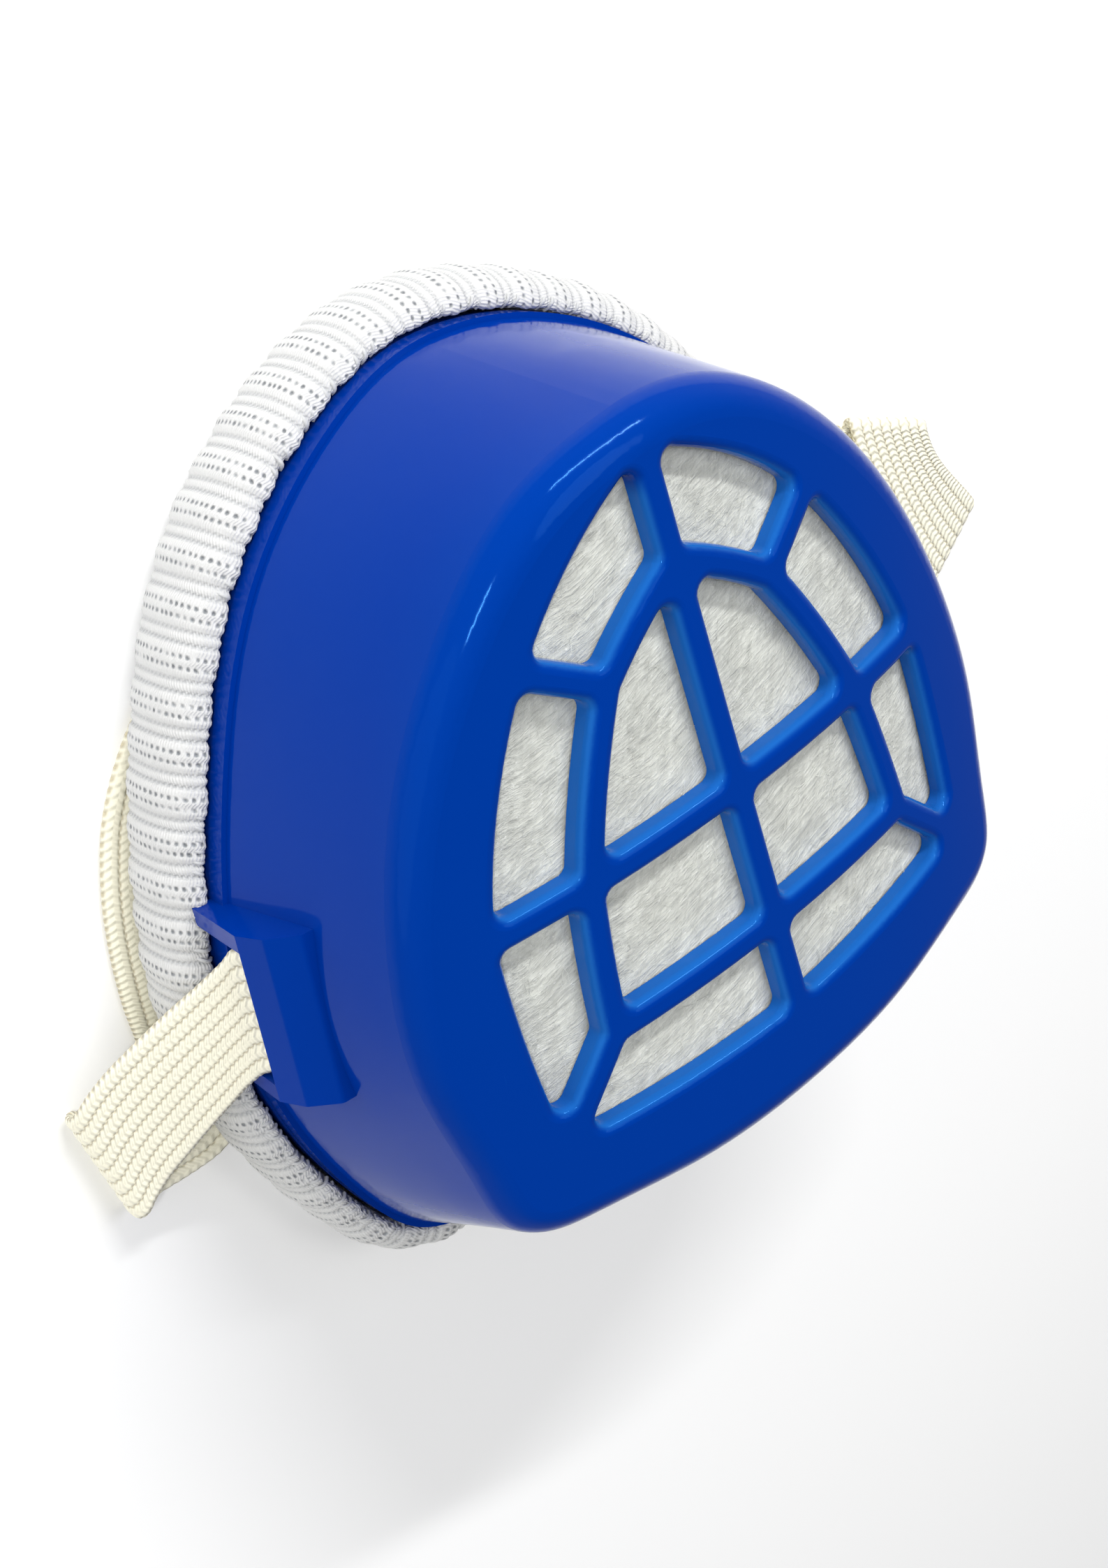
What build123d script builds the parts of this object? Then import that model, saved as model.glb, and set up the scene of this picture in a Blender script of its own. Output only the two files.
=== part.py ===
from build123d import *

import os
from math import cos, hypot, radians, sin

# Half-mask dust respirator lying face up on its open back.
# Frame: millimetres, +Z up out of the table, +Y towards the nose, +X towards the wearer's left.
# The origin is the centre of the face opening, on the table that the knit seal rests on.

# ---- shell: heights and the two outlines that it tapers between ---------------------------
SHELL_WIDTH = 114.0
SHELL_LENGTH = 117.7
FACE_TOP = 55.0  # crown of the front face above the table
HEM_LEVEL = 15.0  # front edge of the knit, where the taper of the wall starts
FRONT_LEVEL = FACE_TOP - 8.0  # height at which the front outline is given
RIM_EDGE = 8.0  # rear edge of the shell, inside the seal
WALL = 2.0
FACE_THICKNESS = 3.0
FACE_RADIUS = 164.0  # the front face is part of a cylinder about an axis along Y
EDGE_ROUND = 5.0  # between the face and the side wall
INNER_ROUND = 1.5
LIP_HEIGHT = 3.0  # bead in front of the hem
LIP_PROUD = 0.7
LIP_START = HEM_LEVEL + 0.4

# right half of each outline, from the nose end to the chin end, and the bars of the grille, drawn
# for a shell of this width and length
DRAWN_WIDTH = 114.0
DRAWN_LENGTH = 117.7
REAR_HALF = [
    (0, 55.3), (17.5, 50.6), (34.5, 37.5), (46.5, 18.5), (54.5, -1), (57, -16),
    (55.5, -32), (50.5, -47), (45, -56), (35, -60.6), (18, -62), (0, -62.4),
]
FRONT_HALF = [
    (0, 50.5), (16.3, 46.9), (31, 35), (41, 20), (47.5, 1), (49.2, -14),
    (48, -29), (45.6, -39.5), (42, -43.6), (34, -45.8), (18, -48.7), (0, -49.8),
]

# ---- grille ------------------------------------------------------------------------------
BAR = 4.0
CELL_ROUND = 1.5  # corners of the cells, seen from the front
BAR_ROUND = BAR * 0.35  # front edges of the bars
# where the bars' centre lines meet; the outer ones lie half a bar outside the opening
CENTRE = (0.0, 0.0)
RING_APEX = (0.0, 31.1)
RING_SHOULDER = (13.4, 21.9)
RING_SIDE = (23.1, 0.0)
RING_CORNER = (25.9, -20.2)
LOWER_MIDDLE = (0.0, -20.2)
OUTER_TOP = (0.0, 47.2)
OUTER_SHOULDER = (24.3, 29.6)
OUTER_SIDE = (38.0, 0.0)
OUTER_CORNER = (37.9, -33.2)
OUTER_BOTTOM = (0.0, -35.4)
# how far each curved bar bows away from the straight line between its ends
BOWS = {
    (RING_APEX, RING_SHOULDER): 0.6, (RING_SHOULDER, RING_SIDE): 0.6, (RING_SIDE, RING_CORNER): 0.3,
    (OUTER_TOP, OUTER_SHOULDER): 2.2, (OUTER_SHOULDER, OUTER_SIDE): 1.6,
    (OUTER_SIDE, OUTER_CORNER): 0.8, (OUTER_CORNER, OUTER_BOTTOM): 0.3,
}
HALF_CELLS = [
    (CENTRE, RING_SIDE, RING_SHOULDER, RING_APEX),
    (CENTRE, LOWER_MIDDLE, RING_CORNER, RING_SIDE),
    (RING_APEX, RING_SHOULDER, OUTER_SHOULDER, OUTER_TOP),
    (RING_SHOULDER, RING_SIDE, OUTER_SIDE, OUTER_SHOULDER),
    (RING_SIDE, RING_CORNER, OUTER_CORNER, OUTER_SIDE),
    (LOWER_MIDDLE, OUTER_BOTTOM, OUTER_CORNER, RING_CORNER),
]

# ---- strap louvres -----------------------------------------------------------------------
STRAP_WIDTH = 17.6
STRAP_THICKNESS = 1.3
SLOT_LENGTH = STRAP_WIDTH + 1.2
SLOT_HEIGHT = STRAP_THICKNESS + 1.3
LOUVRE_Y = -6.0
LOUVRE_END_WALL = 2.4
LOUVRE_PROUD = 5.3  # foot of the hood's outer face from the wall at the window
LOUVRE_SLANT = 8.0  # degrees, seen from the front: the hood follows the side wall
LOUVRE_BAND = 1.6
HOOD_ROUND = 1.0
WINDOW_LEVEL = 27.8  # middle of the window through the wall
# the hood's section: how far out from LOUVRE_OUT, and the height above the table
HOOD_CREST = (-5.2, 33.4)
HOOD_BROW = (-1.9, 30.2)
HOOD_EDGE = (-0.4, 26.3)
HOOD_FOOT = -1.0
HOOD_ROOT = -8.0  # inside the side wall

# ---- filter pack, from the face inwards ---------------------------------------------------
PACK_GAP = 0.2
FACE_GAP = 0.3
FELT_THICKNESS = 3.5
SUPPORT_THICKNESS = 1.2
FINE_THICKNESS = 4.0
RETAINER_THICKNESS = 2.4
RETAINER_RIM = 5.0
RETAINER_BAR = 3.0
SUPPORT_RIM = 3.0
SUPPORT_BAR = 1.6
PAD_LEVEL = FACE_TOP - 2.0  # the pads are cut to the wall at this height
PAD_INSET = WALL + 1.0
RETAINER_LEVEL = FACE_TOP - 11.0
RETAINER_INSET = WALL + 0.5
RIB_GAP = 0.35
RIB_WIDTH = 3.0
RIB_POINTS = [2, 4, 7]  # outline points that carry a friction rib

# ---- seal --------------------------------------------------------------------------------
RIM_GAP = 0.3
KNIT_OUT = 5.0  # how far the knit stands out from the rim
KNIT_WALL = 1.6
KNIT_SOLE = 3.2
KNIT_ROUND = 3.0
HEM_TAPER = 2.4
CUSHION_GAP = 0.3
CUSHION_IN = 3.6  # how far the cushion reaches inwards from the rim's outer face

# ---- head strap as it lies: pairs of edge points, at mid thickness ------------------------
LAYER = STRAP_THICKNESS + 0.3
FLOOR_LEVEL = STRAP_THICKNESS / 2
SECOND_LEVEL = FLOOR_LEVEL + LAYER
THIRD_LEVEL = SECOND_LEVEL + LAYER
STRAP_RELIEF = 0.3


def fitted(point):
    """A drawn point on a shell of the wanted width and length."""
    return point[0] * SHELL_WIDTH / DRAWN_WIDTH, point[1] * SHELL_LENGTH / DRAWN_LENGTH


def blend(low, high, share):
    """The value a share of the way from low to high."""
    return low + (high - low) * share


def half_outline(level, grow):
    """The right half of the shell's outline at a height, moved outwards by grow."""
    share = max(0.0, (level - HEM_LEVEL) / (FRONT_LEVEL - HEM_LEVEL))
    points = [
        fitted((blend(a[0], b[0], share), blend(a[1], b[1], share)))
        for a, b in zip(REAR_HALF, FRONT_HALF)
    ]
    moved = []
    for i, (x, y) in enumerate(points):
        before = points[i - 1] if i else (-points[1][0], points[1][1])
        after = points[i + 1] if i + 1 < len(points) else (-points[i - 1][0], points[i - 1][1])
        along = (after[0] - before[0], after[1] - before[1])
        length = hypot(*along)
        moved.append((x - along[1] / length * grow, y + along[0] / length * grow))
    return moved


def outline(level, grow=0.0):
    """The whole closed outline, mirrored about the YZ plane."""
    half = half_outline(level, grow)
    return half + [(-x, y) for x, y in reversed(half[1:-1])]


def prism(bottom, top, level, grow):
    """A straight block on the outline at a level."""
    with BuildPart(mode=Mode.PRIVATE) as block:
        with BuildSketch(Plane.XY.offset(bottom)):
            with BuildLine():
                Spline(*outline(level, grow), periodic=True)
            make_face()
        extrude(amount=top - bottom)
    return block.part


def tapered(bottom, top, grow):
    """A block that follows the tapering wall between two heights."""
    with BuildPart(mode=Mode.PRIVATE) as block:
        for level in (bottom, top):
            with BuildSketch(Plane.XY.offset(level)):
                with BuildLine():
                    Spline(*outline(level, grow), periodic=True)
                make_face()
        loft()
    return block.part


def drum(radius):
    """Everything below a cylinder that is concentric with the front face."""
    with BuildPart(Plane.XZ, mode=Mode.PRIVATE) as block:
        with BuildSketch(Plane.XZ):
            with Locations((0, FACE_TOP - FACE_RADIUS)):
                Circle(radius)
        extrude(amount=200, both=True)
    return block.part


def curved_slab(outer_radius, thickness, level, grow):
    """A plate on the outline, bent like the face."""
    with BuildPart(mode=Mode.PRIVATE) as block:
        add(prism(0, FACE_TOP + 5, level, grow))
        add(drum(outer_radius), mode=Mode.INTERSECT)
        add(drum(outer_radius - thickness), mode=Mode.SUBTRACT)
    return block.part


def cell(corners):
    """One opening between bars, inset by half a bar, with rounded corners."""
    with BuildSketch(mode=Mode.PRIVATE) as one:
        with BuildLine():
            for drawn in zip(corners, corners[1:] + corners[:1]):
                start, end = fitted(drawn[0]), fitted(drawn[1])
                bow = BOWS.get(drawn) or BOWS.get(drawn[::-1])
                if bow:
                    middle = ((start[0] + end[0]) / 2, (start[1] + end[1]) / 2)
                    out = bow / hypot(*middle)
                    ThreePointArc(start, (middle[0] * (1 + out), middle[1] * (1 + out)), end)
                else:
                    Line(start, end)
        make_face()
        offset(amount=-BAR / 2, kind=Kind.INTERSECTION, mode=Mode.REPLACE)
        fillet(one.vertices(), CELL_ROUND)
    return one.sketch


def cells():
    """The openings of the grille as one sketch."""
    with BuildSketch(mode=Mode.PRIVATE) as openings:
        for corners in HALF_CELLS:
            add(cell(corners))
        mirror(about=Plane.YZ)
    return openings.sketch


def wall_beside(y, level):
    """How far out the wall stands beside a place along the shell, at a height."""
    points = half_outline(level, 0)
    for (x0, y0), (x1, y1) in zip(points, points[1:]):
        if y1 <= y <= y0:
            return blend(x0, x1, (y - y0) / (y1 - y0))
    raise ValueError("the louvre is off the end of the shell")


LOUVRE_OUT = wall_beside(LOUVRE_Y, WINDOW_LEVEL) + LOUVRE_PROUD


def louvre_plane():
    """Across the hood: x runs outwards, y up, and the normal along the slot."""
    slant = radians(LOUVRE_SLANT)
    return Plane(
        origin=(LOUVRE_OUT, LOUVRE_Y, 0), x_dir=(cos(slant), sin(slant), 0),
        z_dir=(sin(slant), -cos(slant), 0),
    )


# ---- shell ---------------------------------------------------------------------------------
LOUVRE_LENGTH = SLOT_LENGTH + 2 * LOUVRE_END_WALL

with BuildPart() as cavity:
    add(tapered(HEM_LEVEL, FACE_TOP + 5, -WALL))
    add(drum(FACE_RADIUS - FACE_THICKNESS), mode=Mode.INTERSECT)
    fillet(cavity.faces().sort_by(Axis.Z)[-1].outer_wire().edges(), INNER_ROUND)
    add(prism(0, HEM_LEVEL, HEM_LEVEL, -WALL))

with BuildPart() as shell_outside:
    add(tapered(HEM_LEVEL, FACE_TOP + 5, 0))
    add(drum(FACE_RADIUS), mode=Mode.INTERSECT)
    fillet(shell_outside.faces().sort_by(Axis.Z)[-1].outer_wire().edges(), EDGE_ROUND)
    add(prism(RIM_EDGE, HEM_LEVEL, HEM_LEVEL, 0))
    add(prism(LIP_START, LIP_START + LIP_HEIGHT, LIP_START + LIP_HEIGHT, LIP_PROUD))

with BuildPart() as louvre:
    with BuildSketch(louvre_plane()) as hood:
        with BuildLine():
            Polyline(
                (HOOD_ROOT, HOOD_CREST[1]), HOOD_CREST, HOOD_BROW, HOOD_EDGE,
                (HOOD_EDGE[0] - LOUVRE_BAND, HOOD_EDGE[1]),
                (HOOD_BROW[0] - LOUVRE_BAND, HOOD_BROW[1] - LOUVRE_BAND / 3),
                (HOOD_ROOT, HOOD_CREST[1] - LOUVRE_BAND), close=True,
            )
        make_face()
        for corner in (HOOD_CREST, HOOD_BROW):
            fillet(hood.vertices().sort_by_distance(corner)[0], HOOD_ROUND)
    extrude(amount=LOUVRE_LENGTH / 2, both=True)
    for end in (-1, 1):
        middle = end * (LOUVRE_LENGTH - LOUVRE_END_WALL) / 2
        with BuildSketch(louvre_plane().offset(middle)) as end_wall:
            with BuildLine():
                Polyline(
                    (HOOD_ROOT, HOOD_CREST[1]), HOOD_CREST, HOOD_BROW, HOOD_EDGE,
                    (HOOD_FOOT, LIP_START), (HOOD_ROOT, LIP_START), close=True,
                )
            make_face()
            for corner in (HOOD_CREST, HOOD_BROW):
                fillet(end_wall.vertices().sort_by_distance(corner)[0], HOOD_ROUND)
        extrude(amount=LOUVRE_END_WALL / 2, both=True)

WINDOW_DEPTH = WALL + 4.5
WINDOW_OUT = HOOD_BROW[0] - LOUVRE_BAND - 0.3  # ends short of the hood
with BuildPart() as window:
    with BuildSketch(louvre_plane()):
        with Locations((WINDOW_OUT - WINDOW_DEPTH / 2, WINDOW_LEVEL)):
            Rectangle(WINDOW_DEPTH, SLOT_HEIGHT)
    extrude(amount=SLOT_LENGTH / 2, both=True)

RIB_FOOT = RETAINER_LEVEL - 10.0
RIB_HEIGHT = 8.0
RIB_REACH = 6.0
rib_tips = half_outline(RETAINER_LEVEL, RIB_GAP - RETAINER_INSET)
rib_aims = half_outline(RETAINER_LEVEL, 0)
with BuildPart() as friction_ribs:
    for side in (-1, 1):
        for i in RIB_POINTS:
            tip, aim = rib_tips[i], rib_aims[i]
            outwards = (side * (aim[0] - tip[0]), aim[1] - tip[1], 0)
            origin = (side * tip[0], tip[1], RIB_FOOT)
            with BuildSketch(Plane(origin=origin, x_dir=outwards, z_dir=(0, 0, 1))):
                with Locations((RIB_REACH / 2, 0)):
                    Rectangle(RIB_REACH, RIB_WIDTH)
            extrude(amount=RIB_HEIGHT)
    add(tapered(HEM_LEVEL, FACE_TOP + 5, -WALL / 2), mode=Mode.INTERSECT)

with BuildPart() as shell:
    add(shell_outside.part)
    add(louvre.part)
    add(mirror(louvre.part, about=Plane.YZ))
    add(cavity.part, mode=Mode.SUBTRACT)
    with BuildSketch(Plane.XY.offset(FACE_TOP - 15)):
        add(cells())
    extrude(amount=20, mode=Mode.SUBTRACT)
    front = shell.faces().filter_by(GeomType.CYLINDER).filter_by(lambda face: face.inner_wires())
    front = front.sort_by(Axis.Z)[-1]
    fillet([edge for wire in front.inner_wires() for edge in wire.edges()], BAR_ROUND)
    add(window.part, mode=Mode.SUBTRACT)
    add(mirror(window.part, about=Plane.YZ), mode=Mode.SUBTRACT)
    add(friction_ribs.part)
shell.part.label = "shell"

# ---- filter pack ---------------------------------------------------------------------------
FELT_FACE = FACE_RADIUS - FACE_THICKNESS - FACE_GAP
SUPPORT_FACE = FELT_FACE - FELT_THICKNESS - PACK_GAP
FINE_FACE = SUPPORT_FACE - SUPPORT_THICKNESS - PACK_GAP
RETAINER_FACE = FINE_FACE - FINE_THICKNESS - PACK_GAP
SUPPORT_PITCH = 12.0
LINES_ACROSS = 2 * int(SHELL_WIDTH / SUPPORT_PITCH / 2) + 1
LINES_ALONG = 2 * int(SHELL_LENGTH / SUPPORT_PITCH / 2) + 1

with BuildPart() as prefilter_felt:
    add(curved_slab(FELT_FACE, FELT_THICKNESS, PAD_LEVEL, -PAD_INSET))
prefilter_felt.part.label = "prefilter_felt"

with BuildPart() as filter_support:
    add(curved_slab(SUPPORT_FACE, SUPPORT_THICKNESS, PAD_LEVEL, -PAD_INSET))
    with BuildSketch():
        with BuildLine():
            Spline(*outline(PAD_LEVEL, -PAD_INSET - SUPPORT_RIM), periodic=True)
        make_face()
        with GridLocations(SUPPORT_PITCH, 0, LINES_ACROSS, 1):
            Rectangle(SUPPORT_BAR, 2 * SHELL_LENGTH, mode=Mode.SUBTRACT)
        with GridLocations(0, SUPPORT_PITCH, 1, LINES_ALONG):
            Rectangle(2 * SHELL_WIDTH, SUPPORT_BAR, mode=Mode.SUBTRACT)
    extrude(amount=FACE_TOP, mode=Mode.SUBTRACT)
filter_support.part.label = "filter_support"

with BuildPart() as fine_filter:
    add(curved_slab(FINE_FACE, FINE_THICKNESS, PAD_LEVEL, -PAD_INSET))
fine_filter.part.label = "fine_filter"

with BuildPart() as filter_retainer:
    add(curved_slab(RETAINER_FACE, RETAINER_THICKNESS, RETAINER_LEVEL, -RETAINER_INSET))
    with BuildSketch():
        with BuildLine():
            Spline(*outline(RETAINER_LEVEL, -RETAINER_INSET - RETAINER_RIM), periodic=True)
        make_face()
        bar_x, bar_y = fitted((RING_SIDE[0] / 2, RING_SHOULDER[1]))
        with Locations((-bar_x, 0), (bar_x, 0)):
            Rectangle(RETAINER_BAR, 2 * SHELL_LENGTH, mode=Mode.SUBTRACT)
        with Locations((0, bar_y), (0, 0), (0, -bar_y)):
            Rectangle(2 * SHELL_WIDTH, RETAINER_BAR, mode=Mode.SUBTRACT)
    extrude(amount=FACE_TOP, mode=Mode.SUBTRACT)
filter_retainer.part.label = "filter_retainer"

# ---- head strap ----------------------------------------------------------------------------
# each row is one crossing of the strap, at mid thickness: its leading edge, its other edge,
# drawn for a strap of this width and louvres this far out
DRAWN_STRAP = 17.6
DRAWN_OUT = 57.83
DRAWN_IN = 45.0  # beyond here the strap moves out as far as the louvres do
POCKET = [
    ((48.2, 1.5, WINDOW_LEVEL), (50.6, -15.9, WINDOW_LEVEL)),
    ((52.2, 2.1, WINDOW_LEVEL), (54.7, -15.3, WINDOW_LEVEL)),
    ((53.5, 2.3, 26.2), (55.9, -15.1, 26.2)),
    ((55.4, 2.5, 23.8), (57.8, -14.9, 23.8)),
]
LEFT_RUN = [
    ((57.4, 1.2, 21.0), (60.4, -15.1, 21.0)), ((59.6, -1.2, 18.0), (62.6, -18.0, 18.0)),
    ((64.4, -7.0, 12.6), (65.4, -25.2, 12.6)),
    ((71.4, -15.2, 6.4), (68.4, -33.2, 6.4)),
    ((75.8, -20.7, 3.0), (70.2, -38.3, 3.0)),
    ((78.0, -23.2, SECOND_LEVEL), (71.4, -41.0, SECOND_LEVEL)),
]
UNDER_RUN = [
    ((-78.0, -23.2), (-71.4, -41.0)), ((-69.6, -21.6), (-61.0, -39.0)),
    ((-64.6, -17.6), (-52.4, -32.0)), ((-63.6, -9.0), (-46.4, -16.6)),
    ((-61.4, 1.4), (-44.0, -3.6)), ((-57.0, 12.2), (-40.6, 4.6)),
    ((-47.8, 23.2), (-35.2, 10.2)), ((-33.4, 32.4), (-25.6, 15.8)),
    ((-14.0, 38.2), (-10.6, 20.0)), ((6.0, 40.4), (6.0, 22.0)),
    ((25.4, 37.4), (20.6, 20.0)), ((43.6, 29.6), (34.4, 14.2)),
    ((60.8, 18.2), (48.6, 5.4)), ((78.6, 3.4), (62.6, -5.6)),
    ((104.0, -22.0), (88.6, -31.9)),
]
RIGHT_FLAP = [
    ((104.0, -22.0, THIRD_LEVEL), (88.6, -31.9, THIRD_LEVEL)),
    ((98.0, -6.0, THIRD_LEVEL), (74.7, 4.9, THIRD_LEVEL)),
]
RIGHT_RUN = [
    ((98.0, -6.0, SECOND_LEVEL), (74.7, 4.9, SECOND_LEVEL)),
    ((80.2, -11.7, SECOND_LEVEL), (72.4, 4.6, SECOND_LEVEL)),
    ((73.4, -13.8, 7.4), (69.0, 3.9, 6.8)),
    ((67.0, -15.0, 13.2), (64.2, 3.2, 13.0)),
    ((61.6, -15.4, 19.4), (58.8, 2.8, 19.4)),
]


def on_left(rows):
    """The same crossings on the other side of the mask."""
    return [tuple((-x, y, z) for x, y, z in row) for row in rows]


def on_table(rows):
    """Crossings that lie flat on the table."""
    return [tuple((x, y, FLOOR_LEVEL) for x, y in row) for row in rows]


def placed(rows):
    """The drawn crossings, moved with the louvres and made as wide as the strap."""
    moved = []
    for a, b in rows:
        spread = max(-1.0, min(1.0, (a[0] + b[0]) / 2 / DRAWN_IN)) * (LOUVRE_OUT - DRAWN_OUT)
        wider = (STRAP_WIDTH / DRAWN_STRAP - 1) / 2
        half = [(p - q) * wider for p, q in zip(a, b)]
        moved.append((
            tuple(p + h + s for p, h, s in zip(a, half, (spread, 0, 0))),
            tuple(p - h + s for p, h, s in zip(b, half, (spread, 0, 0))),
        ))
    return moved


def turned(rows):
    """The crossings in the opposite order, with their edges exchanged."""
    return [(b, a) for a, b in reversed(rows)]


def fold(before, after, side):
    """Crossings round a half turn between two layers, on the given side of the fold line."""
    a, b = before
    rise = after[0][2] - a[2]
    length = hypot(b[0] - a[0], b[1] - a[1])
    out = (side * (b[1] - a[1]) / length, side * (a[0] - b[0]) / length)
    turn = []
    for angle in (-45, 0, 45):
        reach = abs(rise) / 2 * cos(radians(angle))
        lift = rise / 2 * (1 + sin(radians(angle)))
        turn.append(tuple(
            (x + out[0] * reach, y + out[1] * reach, z + lift) for x, y, z in before
        ))
    return turn


def strap_sections(rows):
    """One rectangular section for each crossing, square to the strap's run there."""
    pairs = [(Vector(*a), Vector(*b)) for a, b in rows]
    middles = [(a + b) / 2 for a, b in pairs]
    sections = []
    for i, (a, b) in enumerate(pairs):
        ahead = middles[min(i + 1, len(pairs) - 1)] - middles[max(i - 1, 0)]
        lift = ahead.cross(b - a).normalized() * (STRAP_THICKNESS / 2)
        sections.append(Face(Wire.make_polygon([a + lift, b + lift, b - lift, a - lift])))
    length = sum((n - m).length for m, n in zip(middles, middles[1:]))
    return sections, length


under_rows = placed(on_table(UNDER_RUN))
left_rows = placed(on_left(POCKET + LEFT_RUN))
left_rows += fold(left_rows[-1], under_rows[0], 1)
flap_rows = placed(RIGHT_FLAP)
run_rows = placed(RIGHT_RUN + turned(POCKET))
right_rows = fold(under_rows[-1], flap_rows[0], -1) + flap_rows
right_rows += fold(flap_rows[-1], run_rows[0], 1) + run_rows
sections, strap_length = strap_sections(left_rows + under_rows + right_rows)
first = len(left_rows)
last = first + len(under_rows) - 1

with BuildPart() as strap_left_run:
    loft(sections=sections[: first + 1], ruled=True)
strap_left_run.part.label = "strap_left_run"

with BuildPart() as strap_under_run:
    loft(sections=sections[first : last + 1], ruled=True)
strap_under_run.part.label = "strap_under_run"

with BuildPart() as strap_right_run:
    loft(sections=sections[last:], ruled=True)
strap_right_run.part.label = "strap_right_run"

# ---- sewn ends of the strap, inside the shell --------------------------------------------------
STOP_DEPTH = 1.8
STOP_HEIGHT = 4.4
STOP_GAP = 0.1
inner_end = placed(POCKET)[0]
stop_middle = ((inner_end[0][0] + inner_end[1][0]) / 2, (inner_end[0][1] + inner_end[1][1]) / 2)
stop_along = (inner_end[0][0] - inner_end[1][0], inner_end[0][1] - inner_end[1][1], 0)
with BuildPart() as strap_stop_right:
    with BuildSketch(
        Plane(origin=(*stop_middle, WINDOW_LEVEL), x_dir=stop_along, z_dir=(0, 0, 1))
    ):
        with Locations((0, STOP_DEPTH / 2 + STOP_GAP)):
            RectangleRounded(STRAP_WIDTH + 1.6, STOP_DEPTH, STOP_DEPTH * 0.4)
    extrude(amount=STOP_HEIGHT / 2, both=True)
strap_stop_right.part.label = "strap_stop_right"
with BuildPart() as strap_stop_left:
    add(mirror(strap_stop_right.part, about=Plane.YZ))
strap_stop_left.part.label = "strap_stop_left"

# ---- seal ------------------------------------------------------------------------------------
HEM_BAND = 4.0  # height of the hem at the front edge of the knit
HEM_POCKET = 1.9  # room for the elastic between the shell and the hem
HEM_START = HEM_LEVEL - HEM_BAND
BORE_IN = CUSHION_IN + CUSHION_GAP + KNIT_WALL


def ring(bottom, top, outer, inner):
    """A straight ring on the rim's outline."""
    with BuildPart(mode=Mode.PRIVATE) as band:
        add(prism(bottom, top, HEM_LEVEL, outer))
        add(prism(bottom, top, HEM_LEVEL, inner), mode=Mode.SUBTRACT)
    return band.part


with BuildPart() as knit_seal:
    add(prism(0, HEM_LEVEL, HEM_LEVEL, KNIT_OUT))
    fillet(knit_seal.edges().group_by(Axis.Z)[0], KNIT_ROUND)
    chamfer(knit_seal.edges().group_by(Axis.Z)[-1], HEM_TAPER)
    add(prism(0, HEM_LEVEL, HEM_LEVEL, -BORE_IN), mode=Mode.SUBTRACT)
    add(ring(KNIT_SOLE, HEM_START, KNIT_OUT - KNIT_WALL, KNIT_WALL - BORE_IN), mode=Mode.SUBTRACT)
    add(ring(HEM_START, HEM_LEVEL, HEM_POCKET, KNIT_WALL - BORE_IN), mode=Mode.SUBTRACT)
    with BuildSketch():
        with BuildLine():
            leading = [row[0][:2] for row in under_rows]
            trailing = [row[1][:2] for row in under_rows]
            Polyline(*leading, *reversed(trailing), close=True)
        make_face()
        offset(amount=STRAP_RELIEF, kind=Kind.INTERSECTION)
    extrude(amount=STRAP_THICKNESS + STRAP_RELIEF, mode=Mode.SUBTRACT)
knit_seal.part.label = "knit_seal"

with BuildPart() as cushion_ring:
    add(ring(
        KNIT_SOLE + CUSHION_GAP, HEM_START - CUSHION_GAP,
        KNIT_OUT - KNIT_WALL - CUSHION_GAP, -CUSHION_IN,
    ))
    add(ring(RIM_EDGE - RIM_GAP, HEM_LEVEL, RIM_GAP, -WALL - RIM_GAP), mode=Mode.SUBTRACT)
cushion_ring.part.label = "cushion_ring"

with BuildPart() as hem_elastic:
    add(ring(HEM_START + 0.4, HEM_LEVEL - 0.6, HEM_POCKET - RIM_GAP, RIM_GAP))
hem_elastic.part.label = "hem_elastic"

# ---- files -----------------------------------------------------------------------------------
os.makedirs("parts", exist_ok=True)
pieces = [
    shell, prefilter_felt, filter_support, fine_filter, filter_retainer, knit_seal, cushion_ring,
    hem_elastic, strap_left_run, strap_under_run, strap_right_run, strap_stop_left,
    strap_stop_right,
]
export_step(shell.part, "parts/shell.step")
export_step(prefilter_felt.part, "parts/prefilter_felt.step")
export_step(filter_support.part, "parts/filter_support.step")
export_step(fine_filter.part, "parts/fine_filter.step")
export_step(filter_retainer.part, "parts/filter_retainer.step")
export_step(knit_seal.part, "parts/knit_seal.step")
export_step(cushion_ring.part, "parts/cushion_ring.step")
export_step(hem_elastic.part, "parts/hem_elastic.step")
export_step(strap_left_run.part, "parts/strap_left_run.step")
export_step(strap_under_run.part, "parts/strap_under_run.step")
export_step(strap_right_run.part, "parts/strap_right_run.step")
export_step(strap_stop_left.part, "parts/strap_stop_left.step")
export_step(strap_stop_right.part, "parts/strap_stop_right.step")
print(f"strap length {strap_length:.0f} mm")
for piece in pieces:
    print(piece.part.label, piece.part.is_valid, len(piece.part.solids()), round(piece.part.volume))
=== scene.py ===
import bmesh
import bpy
import numpy as np
from bpy.props import FloatProperty, FloatVectorProperty, IntProperty, PointerProperty
from mathutils import Matrix, Vector, noise


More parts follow.
